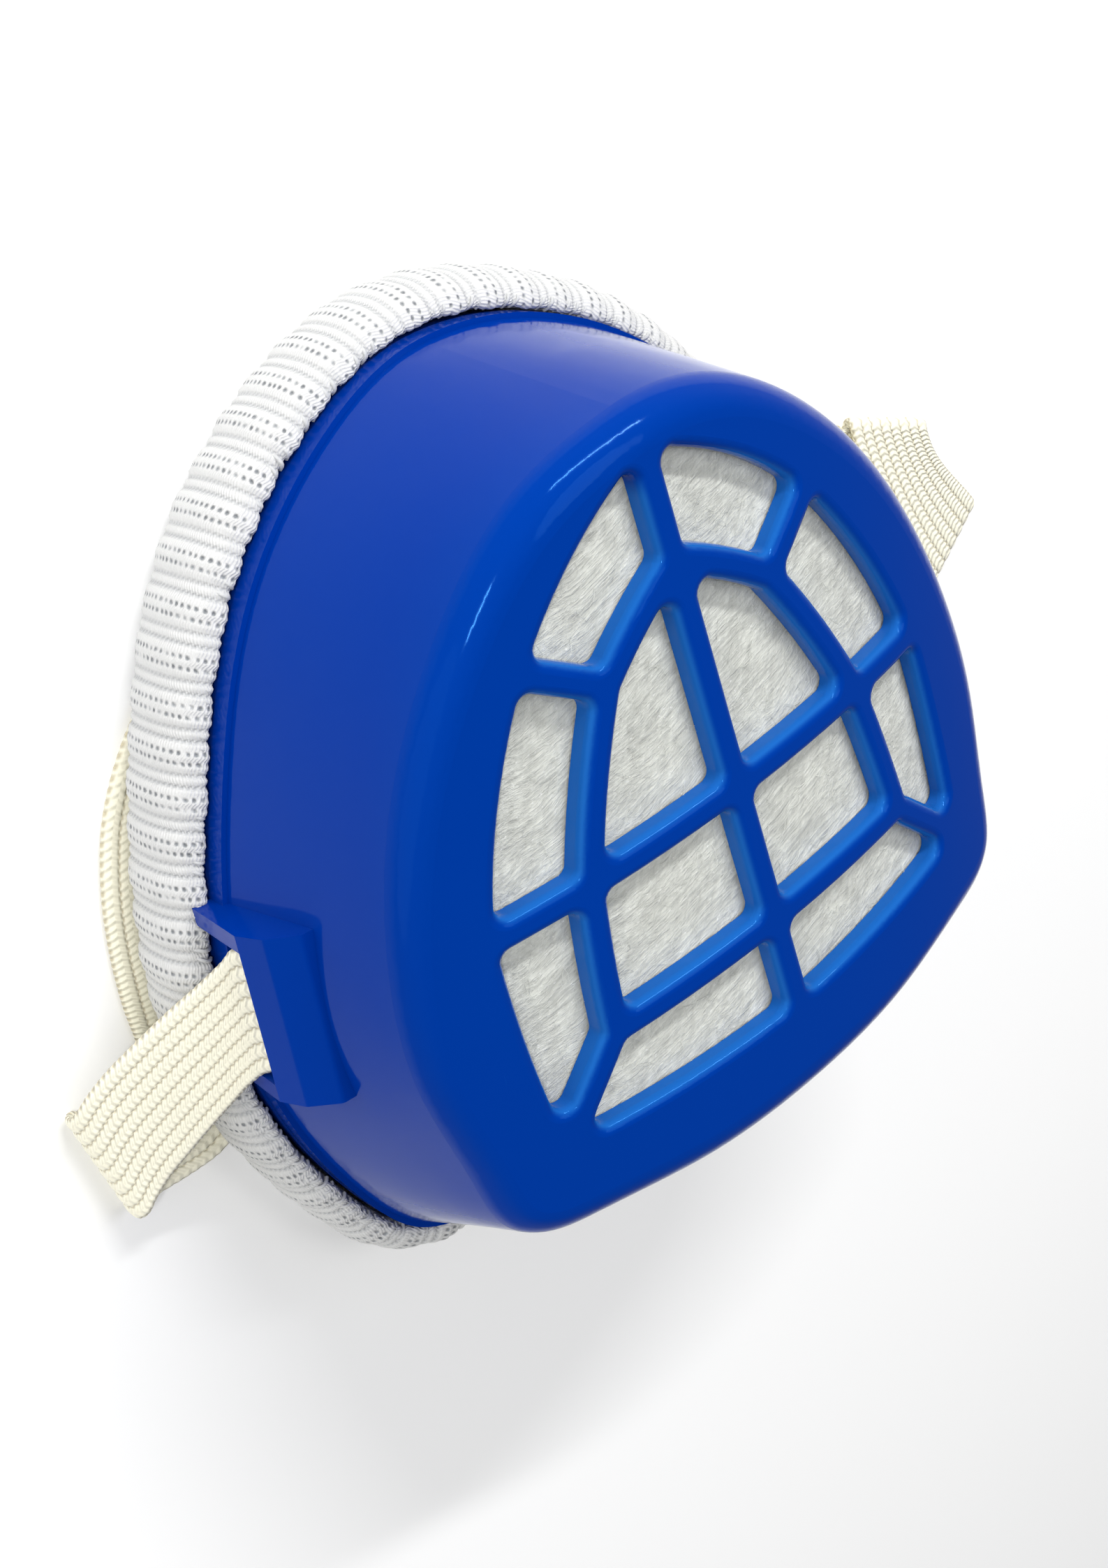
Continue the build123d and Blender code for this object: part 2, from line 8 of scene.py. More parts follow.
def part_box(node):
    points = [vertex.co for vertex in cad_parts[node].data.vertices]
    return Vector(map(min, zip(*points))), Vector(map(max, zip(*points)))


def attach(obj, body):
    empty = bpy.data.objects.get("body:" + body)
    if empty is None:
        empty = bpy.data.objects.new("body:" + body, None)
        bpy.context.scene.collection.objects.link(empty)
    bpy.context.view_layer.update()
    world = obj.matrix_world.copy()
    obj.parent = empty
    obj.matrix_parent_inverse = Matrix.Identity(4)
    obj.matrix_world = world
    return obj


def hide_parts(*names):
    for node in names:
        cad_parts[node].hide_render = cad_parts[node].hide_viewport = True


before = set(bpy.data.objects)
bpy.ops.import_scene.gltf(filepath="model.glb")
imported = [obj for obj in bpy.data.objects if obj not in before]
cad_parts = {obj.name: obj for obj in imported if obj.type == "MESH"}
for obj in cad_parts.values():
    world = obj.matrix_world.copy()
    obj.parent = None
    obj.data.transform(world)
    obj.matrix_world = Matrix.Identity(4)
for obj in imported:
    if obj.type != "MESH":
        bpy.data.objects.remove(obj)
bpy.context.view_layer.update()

bl_info = {
    "name": "Half-mask respirator",
    "version": (1, 0, 0),
    "blender": (4, 5, 0),
    "location": "View3D > Sidebar > Respirator",
    "description": "Adds the knit seal, strap, felts and finishes to the packed respirator",
    "category": "Object",
}

MM = 0.001

# ---- shapes shared with the part's source, in millimetres -----------------------------------
# right half of the rim's outline, from the nose end to the chin end
RIM_HALF = [
    (0, 55.3), (17.5, 50.6), (34.5, 37.5), (46.5, 18.5), (54.5, -1), (57, -16),
    (55.5, -32), (50.5, -47), (45, -56), (35, -60.6), (18, -62), (0, -62.4),
]
# crossings of the strap, at mid thickness: its leading edge, its other edge
POCKET = [
    ((48.2, 1.5, 27.8), (50.6, -15.9, 27.8)), ((52.2, 2.1, 27.8), (54.7, -15.3, 27.8)),
    ((53.5, 2.3, 26.2), (55.9, -15.1, 26.2)), ((55.4, 2.5, 23.8), (57.8, -14.9, 23.8)),
]
LEFT_RUN = [
    ((57.0, 0.6, 21.6), (59.4, -16.2, 21.6)), ((60.2, -2.4, 18.2), (61.6, -19.2, 18.4)),
    ((64.2, -5.2, 15.0), (64.6, -22.6, 15.2)), ((68.4, -8.4, 11.6), (67.6, -26.1, 12.0)),
    ((71.8, -11.2, 8.8), (70.4, -29.0, 9.6)), ((74.8, -14.2, 6.4), (72.8, -31.9, 7.8)),
    ((76.3, -16.2, 4.9), (74.3, -34.1, 6.6)), ((77.0, -17.4, 3.4), (75.2, -35.3, 4.6)),
    ((76.9, -17.8, 1.9), (75.0, -35.7, 2.2)), ((75.9, -18.2, 0.9), (73.8, -36.0, 0.9)),
]
UNDER_RUN = [
    ((-74.4, -19.4), (-70.2, -36.8)), ((-69.6, -21.2), (-61.8, -37.4)),
    ((-64.6, -17.6), (-52.4, -32.0)), ((-63.6, -9.0), (-46.4, -16.6)),
    ((-61.4, 1.4), (-44.0, -3.6)), ((-57.0, 12.2), (-40.6, 4.6)),
    ((-47.8, 23.2), (-35.2, 10.2)), ((-33.4, 32.4), (-25.6, 15.8)),
    ((-14.0, 38.2), (-10.6, 20.0)), ((6.0, 40.4), (6.0, 22.0)),
    ((25.4, 37.4), (20.6, 20.0)), ((43.6, 29.6), (34.4, 14.2)),
    ((60.8, 18.2), (48.6, 5.4)), ((78.6, 3.4), (62.6, -5.6)),
    ((100.6, -19.4), (85.2, -29.3)),
]
# height of the strap's middle run
FLOOR_LAYER = 0.68
RIGHT_RUN = [
    ((101.4, -20.6, 1.1), (86.0, -30.5, 1.1)), ((101.9, -21.3, 2.25), (86.5, -31.2, 2.25)),
    ((101.4, -20.6, 3.4), (86.0, -30.5, 3.4)), ((100.6, -19.4, 3.85), (85.2, -29.3, 3.85)),
    ((93.7, -3.6, 3.85), (78.0, 3.8, 3.85)), ((94.0, -2.9, 3.6), (78.3, 4.6, 3.6)),
    ((94.1, -2.5, 3.05), (78.4, 5.0, 3.05)), ((94.0, -2.9, 2.45), (78.3, 4.6, 2.45)),
    ((93.7, -3.6, 2.25), (78.0, 3.8, 2.25)), ((80.2, -11.7, 2.25), (72.4, 4.6, 2.25)),
    ((73.4, -13.8, 7.4), (69.0, 3.9, 6.8)), ((67.0, -15.0, 13.2), (64.2, 3.2, 13.0)),
    ((61.6, -15.4, 19.4), (58.8, 2.8, 19.4)),
]


def strap_rows():
    """Every crossing of the strap, from its left end inside the shell to its right end."""
    left = [((-a[0], *a[1:]), (-b[0], *b[1:])) for a, b in POCKET + LEFT_RUN]
    under = [((*a, FLOOR_LAYER), (*b, FLOOR_LAYER)) for a, b in UNDER_RUN]
    back_up = [(b, a) for a, b in reversed(POCKET)]
    return left + under + RIGHT_RUN + back_up


# ---- sizes and colours ----------------------------------------------------------------------


def colour(name, description, default):
    """A colour setting."""
    return FloatVectorProperty(
        name=name, description=description, default=default, size=3, min=0, max=1, subtype="COLOR"
    )


def length(name, description, millimetres):
    """A length setting, given in millimetres and kept in metres."""
    return FloatProperty(
        name=name, description=description, default=millimetres * MM, min=0, precision=5,
        unit="LENGTH", subtype="DISTANCE",
    )


class ShellSettings(bpy.types.PropertyGroup):
    plastic: colour("Plastic", "Colour of the moulded shell", (0.0, 0.029, 0.275))
    # the colour blended in on the face above the walls, by height and a flowing noise; nothing
    # follows the plastic's thickness
    face_blend: colour("Deep", "Colour where the plastic is thickest", (0.0, 0.034, 0.285))
    # painted light: the lighter azure painted on the tilted faces of the grille's bars and cells,
    # for light coming through the bars
    painted_edge_light: colour("Thin edges", "Colour where light comes through the bars", (0.01, 0.112, 0.43))
    roughness: FloatProperty(
        name="Roughness", description="Roughness of the moulded plastic", default=0.1,
        min=0, max=1, subtype="FACTOR",
    )


class KnitSettings(bpy.types.PropertyGroup):
    yarn: colour("Yarn", "Colour of the knitting", (0.65, 0.65, 0.64))
    # painted shade: the colour painted into the grooves between the ribs and into the eyelets; the
    # binding yarn mixes it in at random
    shade: colour("Groove", "Colour down between the ribs", (0.32, 0.34, 0.36))
    ribs: IntProperty(name="Ribs", description="Rib repeats round the rim", default=68, min=8)
    rib_relief: length("Rib relief", "Depth of the grooves between the ribs", 0.36)
    eyelet_pitch: length("Eyelet pitch", "Distance between eyelets along a rib", 1.05)
    hem_stitches: IntProperty(
        name="Hem stitches", description="Bound stitches along the hem", default=272, min=20
    )
    stitch_thread: length("Hem thread", "Thickness of the hem's binding thread", 0.52)


class StrapSettings(bpy.types.PropertyGroup):
    webbing: colour("Webbing", "Colour of the elastic webbing", (1.0, 0.97, 0.79))
    # painted shade: the colour painted into the gaps between the stitches and the grooves between
    # the ridges
    shade: colour("Between ridges", "Colour down between the ridges", (0.66, 0.59, 0.41))
    ridges: IntProperty(name="Ridges", description="Braided ridges across", default=8, min=2)
    ridge_relief: length("Ridge relief", "Height of a ridge", 0.20)
    stitch_pitch: length("Stitch pitch", "Distance between stitches along a ridge", 1.1)


class FilterSettings(bpy.types.PropertyGroup):
    felt: colour("Felt", "Colour of the front felt", (0.61, 0.62, 0.565))
    fine: colour("Fine filter", "Colour of the fine filter", (0.82, 0.83, 0.80))
    plastic: colour("Frames", "Colour of the support and the retainer", (0.78, 0.79, 0.76))
    fibres: IntProperty(name="Fibres", description="Loose fibres on the felt", default=1500, min=0)
    fibre_length: length("Fibre length", "Length of a loose fibre", 2.6)


class StageSettings(bpy.types.PropertyGroup):
    floor: colour("Floor", "Colour of the floor", (0.92, 0.92, 0.92))
    daylight: FloatProperty(
        name="Daylight", description="Strength of the light from all sides", default=0.58, min=0
    )
    key: FloatProperty(
        name="Key light", description="Power of the large soft light", default=2.7, min=0,
        unit="POWER",
    )


# ---- curves ---------------------------------------------------------------------------------


def closed_curve(points, count):
    """Even points on a smooth closed curve through the given ones, its normals and its length."""
    p = np.array(points, float)
    n = len(p)
    step = np.linalg.norm(np.roll(p, -1, 0) - p, axis=1)
    system, right = np.zeros((n, n)), np.zeros((n, 2))
    for i in range(n):
        before, after = step[i - 1], step[i]
        system[i, i - 1], system[i, i], system[i, (i + 1) % n] = after, 2 * (before + after), before
        right[i] = 3 * (
            after * (p[i] - p[i - 1]) / before + before * (p[(i + 1) % n] - p[i]) / after
        )
    slope = np.linalg.solve(system, right)
    fine = []
    for i in range(n):
        t = np.linspace(0, 1, 200, endpoint=False)[:, None]
        a, b, m, k = p[i], p[(i + 1) % n], slope[i] * step[i], slope[(i + 1) % n] * step[i]
        fine.append(
            a * (2 * t**3 - 3 * t**2 + 1) + m * (t**3 - 2 * t**2 + t)
            + b * (3 * t**2 - 2 * t**3) + k * (t**3 - t**2)
        )
    fine = np.vstack(fine)
    closed = np.vstack([fine, fine[:1]])
    run = np.r_[0, np.cumsum(np.linalg.norm(np.diff(closed, axis=0), axis=1))]
    at = np.linspace(0, run[-1], count, endpoint=False)
    even = np.stack([np.interp(at, run, closed[:, k]) for k in (0, 1)], 1)
    along = np.roll(even, -1, 0) - np.roll(even, 1, 0)
    along /= np.linalg.norm(along, axis=1)[:, None]
    return even, np.stack([-along[:, 1], along[:, 0]], 1), run[-1]


def rim(count):
    """The rim's outline, its outward normals and its length."""
    whole = RIM_HALF + [(-x, y) for x, y in reversed(RIM_HALF[1:-1])]
    return closed_curve(whole, count)


def eased(stitch_gaps, values, at):
    """A smooth run through the values that never swings past them."""
    h = np.diff(stitch_gaps)[:, None]
    d = np.diff(values, axis=0) / h
    slope = np.zeros_like(values)
    weight = (h[1:] + h[:-1]) * 3
    same = d[1:] * d[:-1] > 0
    with np.errstate(divide="ignore", invalid="ignore"):
        mean = weight / ((2 * h[1:] + h[:-1]) / d[:-1] + (h[1:] + 2 * h[:-1]) / d[1:])
    slope[1:-1] = np.where(same, mean, 0)
    slope[0], slope[-1] = d[0], d[-1]
    i = np.clip(np.searchsorted(stitch_gaps, at, side="right") - 1, 0, len(h) - 1)
    t = ((at - stitch_gaps[i]) / h[i, 0])[:, None]
    return (
        values[i] * (2 * t**3 - 3 * t**2 + 1) + slope[i] * h[i] * (t**3 - 2 * t**2 + t)
        + values[i + 1] * (3 * t**2 - 2 * t**3) + slope[i + 1] * h[i] * (t**3 - t**2)
    )


def inside(points, polygon):
    """Which points lie inside a polygon."""
    x, y = points[:, 0], points[:, 1]
    found = np.zeros(len(points), bool)
    for (x0, y0), (x1, y1) in zip(polygon, polygon[1:] + polygon[:1]):
        crosses = (y0 > y) != (y1 > y)
        with np.errstate(divide="ignore", invalid="ignore"):
            found ^= crosses & (x < (x1 - x0) * (y - y0) / (y1 - y0) + x0)
    return found


# ---- meshes ---------------------------------------------------------------------------------


def linked(name, data):
    """A new object for the data, in the scene."""
    thing = bpy.data.objects.new(name, data)
    bpy.context.scene.collection.objects.link(thing)
    return thing


def grid_piece(name, verts, uv, wrap_rows, wrap_columns, caps=False):
    """A mesh from a grid of points, with its pattern coordinates in a UV map called weave."""
    rows, columns = verts.shape[:2]
    r = np.arange(rows if wrap_rows else rows - 1)
    c = np.arange(columns if wrap_columns else columns - 1)
    r, c = (x.ravel() for x in np.meshgrid(r, c, indexing="ij"))
    r2, c2 = r + 1, c + 1
    quads = np.stack([
        r * columns + c, r * columns + c2 % columns,
        (r2 % rows) * columns + c2 % columns, (r2 % rows) * columns + c,
    ], 1)
    pattern = np.stack([uv[r, c], uv[r, c2], uv[r2, c2], uv[r2, c]], 1).reshape(-1, 2)
    faces = quads.tolist()
    if caps:
        faces += [list(range(columns)), list(range((rows - 1) * columns, rows * columns))]
        pattern = np.vstack([pattern, uv[0, :columns], uv[rows - 1, :columns]])
    mesh = bpy.data.meshes.new(name)
    mesh.from_pydata((verts.reshape(-1, 3) * MM).tolist(), [], faces)
    layer = mesh.uv_layers.new(name="weave")
    layer.data.foreach_set("uv", pattern.astype(np.float32).ravel())
    return finished(name, mesh)


def finished(name, mesh):
    """An object at the origin for the mesh, smooth, with its faces pointing outwards."""
    work = bmesh.new()
    work.from_mesh(mesh)
    bmesh.ops.recalc_face_normals(work, faces=work.faces)
    work.to_mesh(mesh)
    work.free()
    mesh.polygons.foreach_set("use_smooth", [True] * len(mesh.polygons))
    return linked(name, mesh)


def tidied_copy(node, name):
    """A CAD node's mesh as one closed piece of its own."""
    work = bmesh.new()
    work.from_mesh(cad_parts[node].data)
    bmesh.ops.remove_doubles(work, verts=work.verts, dist=1e-6)
    mesh = bpy.data.meshes.new(name)
    work.to_mesh(mesh)
    work.free()
    return linked(name, mesh)


def applied(piece):
    """The piece with its modifiers' result as its own mesh."""
    evaluated = piece.evaluated_get(bpy.context.evaluated_depsgraph_get())
    mesh = bpy.data.meshes.new_from_object(evaluated)
    piece.modifiers.clear()
    piece.data = mesh
    return piece


def dress(piece, material):
    """The material as the piece's only one."""
    piece.data.materials.clear()
    piece.data.materials.append(material)


# ---- geometry trees -------------------------------------------------------------------------


class Growth:
    """A geometry node tree with named inputs, run once on a piece."""

    def __init__(self, name, **sizes):
        self.tree = bpy.data.node_groups.new(name, "GeometryNodeTree")
        face = self.tree.interface
        face.new_socket("Geometry", in_out="INPUT", socket_type="NodeSocketGeometry")
        face.new_socket("Geometry", in_out="OUTPUT", socket_type="NodeSocketGeometry")
        kinds = {int: "NodeSocketInt", float: "NodeSocketFloat"}
        self.sizes, self.keys = sizes, {}
        for label, value in sizes.items():
            kind = kinds.get(type(value), "NodeSocketMaterial")
            socket = face.new_socket(label, in_out="INPUT", socket_type=kind)
            self.keys[label] = socket.identifier
        self.start = self.tree.nodes.new("NodeGroupInput")
        self.end = self.tree.nodes.new("NodeGroupOutput")

    def size(self, label):
        """The named input's socket."""
        return self.start.outputs[label]

    def add(self, kind, inputs=None, **settings):
        """A node of any type, with its inputs linked or set."""
        node = self.tree.nodes.new(kind)
        for key, value in settings.items():
            setattr(node, key, value)
        for key, value in (inputs or {}).items():
            socket = node.inputs[key]
            if isinstance(value, bpy.types.NodeSocket):
                self.tree.links.new(value, socket)
            elif isinstance(value, bpy.types.Node):
                self.tree.links.new(value.outputs[0], socket)
            else:
                socket.default_value = value
        return node

    def close(self, geometry):
        """Real geometry with the piece's material, out of the tree."""
        real = self.add("GeometryNodeRealizeInstances", {"Geometry": geometry})
        dressed = self.add(
            "GeometryNodeSetMaterial", {"Geometry": real, "Material": self.size("Material")}
        )
        self.tree.links.new(dressed.outputs[0], self.end.inputs[0])

    def grow(self, name, base):
        """A plain mesh piece made by the tree from a base mesh."""
        host = linked(name, base)
        modifier = host.modifiers.new("growth", "NODES")
        modifier.node_group = self.tree
        for label, value in self.sizes.items():
            modifier[self.keys[label]] = value
        return applied(host)


def edge_stitches(name, line, aims, count, thread, reach, material):
    """Thread loops thrown over an edge, one after another along a line."""
    growth = Growth(
        name, Count=count, Thread=thread * 0.5, Reach=reach, Seed=7, Material=material
    )
    curve = growth.add("GeometryNodeMeshToCurve", {"Mesh": growth.start})
    even = growth.add("GeometryNodeResampleCurve", {"Curve": curve, "Count": growth.size("Count")})
    loop = growth.add(
        "GeometryNodeCurveQuadraticBezier",
        {"Resolution": 6, "Start": (0.35, 1.15, -0.9), "Middle": (0.0, 0.25, 1.5),
         "End": (-0.35, -0.85, -0.7)},
    )
    reaches = growth.add("ShaderNodeCombineXYZ", {k: growth.size("Reach") for k in range(3)})
    grown = growth.add("GeometryNodeTransform", {"Geometry": loop, "Scale": reaches})
    thread_edge = growth.add(
        "GeometryNodeCurvePrimitiveCircle", {"Resolution": 5, "Radius": growth.size("Thread")}
    )
    tube = growth.add(
        "GeometryNodeCurveToMesh",
        {"Curve": grown, "Profile Curve": thread_edge.outputs["Curve"], "Fill Caps": True},
    )
    out = growth.add("GeometryNodeInputNamedAttribute", {"Name": "out"}, data_type="FLOAT_VECTOR")
    first = growth.add(
        "FunctionNodeAlignRotationToVector", {"Vector": out.outputs[0]}, axis="Y"
    )
    upright = growth.add(
        "FunctionNodeAlignRotationToVector", {"Rotation": first, "Vector": (0, 0, 1)},
        axis="Z", pivot_axis="Y",
    )
    turn = growth.add(
        "FunctionNodeRandomValue",
        {"Min": (-0.1, -0.1, -0.16), "Max": (0.1, 0.1, 0.16), "Seed": growth.size("Seed")},
        data_type="FLOAT_VECTOR",
    )
    loose = growth.add(
        "FunctionNodeRotateRotation", {"Rotation": upright, "Rotate By": turn.outputs[0]},
        rotation_space="LOCAL",
    )
    size = growth.add(
        "FunctionNodeRandomValue", {2: 0.88, 3: 1.1, "Seed": growth.size("Seed")},
        data_type="FLOAT",
    )
    placed = growth.add(
        "GeometryNodeInstanceOnPoints",
        {"Points": even, "Instance": tube, "Rotation": loose, "Scale": size.outputs[1]},
    )
    growth.close(placed)
    base = bpy.data.meshes.new(name + "_line")
    edges = [(i, i + 1) for i in range(len(line) - 1)]
    base.from_pydata((np.array(line) * MM).tolist(), edges, [])
    layer = base.attributes.new("out", "FLOAT_VECTOR", "POINT")
    layer.data.foreach_set("vector", np.array(aims, np.float32).ravel())
    return growth.grow(name, base)


# ---- shader maths ---------------------------------------------------------------------------


class Wire:
    """A socket in a material that Python's operators work on."""

    def __init__(self, paint, socket):
        self.paint, self.socket = paint, socket

    def maths(self, operation, *others, clamp=False):
        """A maths node on this value and the others."""
        values = {i: v for i, v in enumerate((self, *others))}
        return self.paint.add("ShaderNodeMath", values, operation=operation, use_clamp=clamp)

    def __add__(self, other):
        return self.maths("ADD", other)

    def __sub__(self, other):
        return self.maths("SUBTRACT", other)

    def __mul__(self, other):
        return self.maths("MULTIPLY", other)

    def __truediv__(self, other):
        return self.maths("DIVIDE", other)

    def __rsub__(self, other):
        return self.maths("MULTIPLY", -1.0).maths("ADD", other)

    __radd__, __rmul__ = __add__, __mul__

    def ramp(self, low, high, start=0.0, end=1.0):
        """The start at the low value, easing to the end at the high one."""
        return self.paint.add(
            "ShaderNodeMapRange", {0: self, 1: low, 2: high, 3: start, 4: end},
            interpolation_type="SMOOTHSTEP",
        )

    def near(self, centre, width):
        """1 at the centre, falling smoothly to 0 at the width on either side."""
        away = (self - centre).maths("ABSOLUTE") / width
        return away.ramp(0.0, 1.0, 1.0, 0.0)


class Paint:
    """A tree of shader nodes: a procedural material, or the stage's surroundings."""

    def __init__(self, name, kind="materials"):
        self.owner = getattr(bpy.data, kind).new(name)
        self.owner.use_nodes = True
        self.tree = self.owner.node_tree
        self.tree.nodes.clear()

    def add(self, kind, inputs=None, output=0, **settings):
        """A node of any type, its settings first; its output as a wire, if it has one."""
        node = self.tree.nodes.new(kind)
        for key, value in settings.items():
            setattr(node, key, value)
        for key, value in (inputs or {}).items():
            socket = node.inputs[key]
            if isinstance(value, Wire):
                self.tree.links.new(value.socket, socket)
            elif socket.type == "RGBA":
                socket.default_value = (*value, 1)
            else:
                socket.default_value = value
        return Wire(self, node.outputs[output]) if node.outputs else None

    def mix(self, share, first, second):
        """A colour between two, or tones between two wires."""
        return self.add(
            "ShaderNodeMix", {0: share, 6: first, 7: second}, output=2, data_type="RGBA"
        )

    def place(self, scale=(1, 1, 1), turn=(0, 0, 0), place=(0, 0, 0), kind="POINT"):
        """Object coordinates, stretched, turned and moved."""
        at = self.add("ShaderNodeTexCoord", output=3)
        return self.add(
            "ShaderNodeMapping", {0: at, 1: place, 2: turn, 3: scale}, vector_type=kind
        )

    def weave(self):
        """The piece's own pattern coordinates: across, then along in millimetres."""
        at = self.add("ShaderNodeUVMap", uv_map="weave")
        return [self.add("ShaderNodeSeparateXYZ", {0: at}, output=k) for k in (0, 1)]

    def noise(self, scale, detail=3.0, rough=0.5, at=None, output=0):
        """Noise in object coordinates, or at a given place: its value, or its colour."""
        return self.add(
            "ShaderNodeTexNoise",
            {0: at or self.place(), "Scale": scale, "Detail": detail, "Roughness": rough},
            output=output,
        )

    def finish(self, base, roughness, height=None, depth=0.1, **sockets):
        """The surface: colour, roughness, relief in millimetres and fixed values."""
        inputs = {"Base Color": base, "Roughness": roughness}
        inputs.update({key.replace("_", " "): value for key, value in sockets.items()})
        if height is not None:
            inputs["Normal"] = self.add(
                "ShaderNodeBump", {"Strength": 1.0, "Distance": depth * MM, "Height": height}
            )
        surface = self.add("ShaderNodeBsdfPrincipled", inputs)
        self.add("ShaderNodeOutputMaterial", {"Surface": surface})
        return self.owner


# heights between which the wall's colour turns into the face's, in metres
FACE_BAND = (0.040, 0.052)
# turns the grille's ellipse into a circle of radius 1
GRILLE_SCALE, GRILLE_SHIFT = (22.0, 20.4, 0), (0, 0.12, 0)


def shell_plastic():
    """Glossy moulded plastic with painted light: a lighter azure on the tilted faces of the
    grille's bars and cells, for light coming through the thin bars; with fine scuffs.
    """
    look = bpy.context.scene.respirator_shell
    paint = Paint("shell_plastic")
    height = paint.add("ShaderNodeSeparateXYZ", {0: paint.place()}, output=2)
    face = height.ramp(*FACE_BAND)
    flow = paint.noise(22.0, 2.0)
    face_blend = paint.mix(face * 0.75 + flow * 0.25, tuple(look.plastic), tuple(look.face_blend))
    # painted light: on the face, inside the grille, surfaces tilted away from upright turn to the
    # painted edge light
    facing = paint.add("ShaderNodeNewGeometry", output=1)
    upright = paint.add("ShaderNodeSeparateXYZ", {0: facing}, output=2).maths("ABSOLUTE")
    tilt = upright.ramp(0.97, 0.55)
    within = paint.add(
        "ShaderNodeVectorMath", {0: paint.place(GRILLE_SCALE, place=GRILLE_SHIFT)},
        operation="LENGTH", output=1,
    )
    grille = within.ramp(1.0, 0.93)
    tone = paint.mix(tilt * grille * face, face_blend, tuple(look.painted_edge_light))
    marks = paint.noise(900.0, 2.0, 0.6, at=paint.place((1, 0.12, 1), (0, 0, 0.5)))
    scuffs = marks.maths("SUBTRACT", 0.66).maths("MULTIPLY", 6.0, clamp=True)
    relief = paint.noise(60.0, 1.0) * 0.9 + paint.noise(2600.0, 1.0) * 0.02
    return paint.finish(
        tone, scuffs * 0.2 + look.roughness, relief, 0.12,
        Specular_IOR_Level=0.13, Specular_Tint=(0.1, 0.45, 1.0),
    )


# millimetres along a rib for one turn of the twisted grooves and for one course of stitches
TWIST_PITCH, COURSE_PITCH = 0.85, 0.42


def knit_yarn(pattern=True):
    """Ribbed white knitting: two rows of eyelets, then two twisted grooves, over and over, with
    painted shade in the grooves and a darker painted shade in the eyelets.

    Without the pattern it is plain yarn, for the stitches.
    """
    look = bpy.context.scene.respirator_knit
    paint = Paint("knit_yarn" if pattern else "binding_yarn")
    fuzz = paint.noise(1900.0, 3.0, 0.7)
    if not pattern:
        tone = paint.mix(fuzz * 0.5, tuple(look.yarn), tuple(look.shade))
        return paint.finish(tone, 0.9, fuzz, 0.12, Sheen_Weight=0.25, Sheen_Roughness=0.5)
    across, along = paint.weave()
    phase = across.maths("FRACT")
    pitch = look.eyelet_pitch / MM
    drift = paint.noise(420.0, 1.0) * 0.9
    step = (along / pitch + across.maths("FLOOR") * 0.37 + drift).maths("FRACT")
    late = (along / pitch + 0.45 - drift).maths("FRACT")
    spotty = paint.noise(500.0, 2.0, 0.6) * 3.4 - 0.7
    holes = phase.near(0.13, 0.07) * step.near(0.5, 0.4)
    holes = holes + phase.near(0.36, 0.07) * late.near(0.5, 0.4)
    holes = holes * spotty.maths("MAXIMUM", 0.15).maths("MINIMUM", 1.35)
    twist = (along / TWIST_PITCH + across * 9.0).maths("FRACT").near(0.5, 0.5)
    grooves = phase.near(0.62, 0.085) * 0.7 + phase.near(0.87, 0.08) * 0.55
    course = (along / COURSE_PITCH + phase.near(0.5, 0.5) * 2.0).maths("FRACT").near(0.5, 0.5)
    # painted shade: the eyelets and the twisted grooves darken towards the groove colour, and the
    # eyelets further towards a darker copy of it
    dark = (holes * 1.1 + grooves * (0.35 + twist * 0.45)).maths("MINIMUM", 1.0)
    hollow = paint.mix(dark, tuple(look.yarn), tuple(look.shade))
    pit = tuple(0.62 * value for value in look.shade)
    tone = paint.mix((holes - 0.35).maths("MULTIPLY", 0.95, clamp=True), hollow, pit)
    relief = 1.0 - holes - grooves * (0.5 + twist * 0.5) + course * 0.22 + fuzz * 0.3
    return paint.finish(tone, 0.92, relief, 0.28, Sheen_Weight=0.2, Sheen_Roughness=0.5)


def strap_webbing():
    """Cream elastic webbing with braided ridges, with painted shade in the small gaps between the
    stitches and faintly in the grooves between the ridges.
    """
    look = bpy.context.scene.respirator_strap
    paint = Paint("strap_webbing")
    across, along = paint.weave()
    ridge = across.maths("FRACT")
    pitch = look.stitch_pitch / MM
    chevron = along / pitch + (ridge - 0.5).maths("ABSOLUTE") * 0.9
    stitch = (chevron + across.maths("FLOOR") * 0.5).maths("FRACT").near(0.5, 0.5)
    gap = ridge.near(0.0, 0.17) + ridge.near(1.0, 0.17)
    stitch_gaps = gap * (1.0 - stitch)
    fuzz = paint.noise(1700.0, 3.0, 0.7)
    patches = paint.noise(160.0, 2.0)
    # painted shade: the gaps between the stitches, and faintly the grooves between the ridges,
    # darken towards the shade colour; patches and fuzz vary the tone at random
    share = stitch_gaps * 1.0 + gap * 0.06 + patches * 0.1 + fuzz * 0.08
    tone = paint.mix(share.maths("MINIMUM", 1.0), tuple(look.webbing), tuple(look.shade))
    relief = stitch * (1.0 - gap * 0.4) + fuzz * 0.35 - stitch_gaps * 0.9
    return paint.finish(tone, 0.88, relief, 0.2, Sheen_Weight=0.2, Sheen_Roughness=0.5)


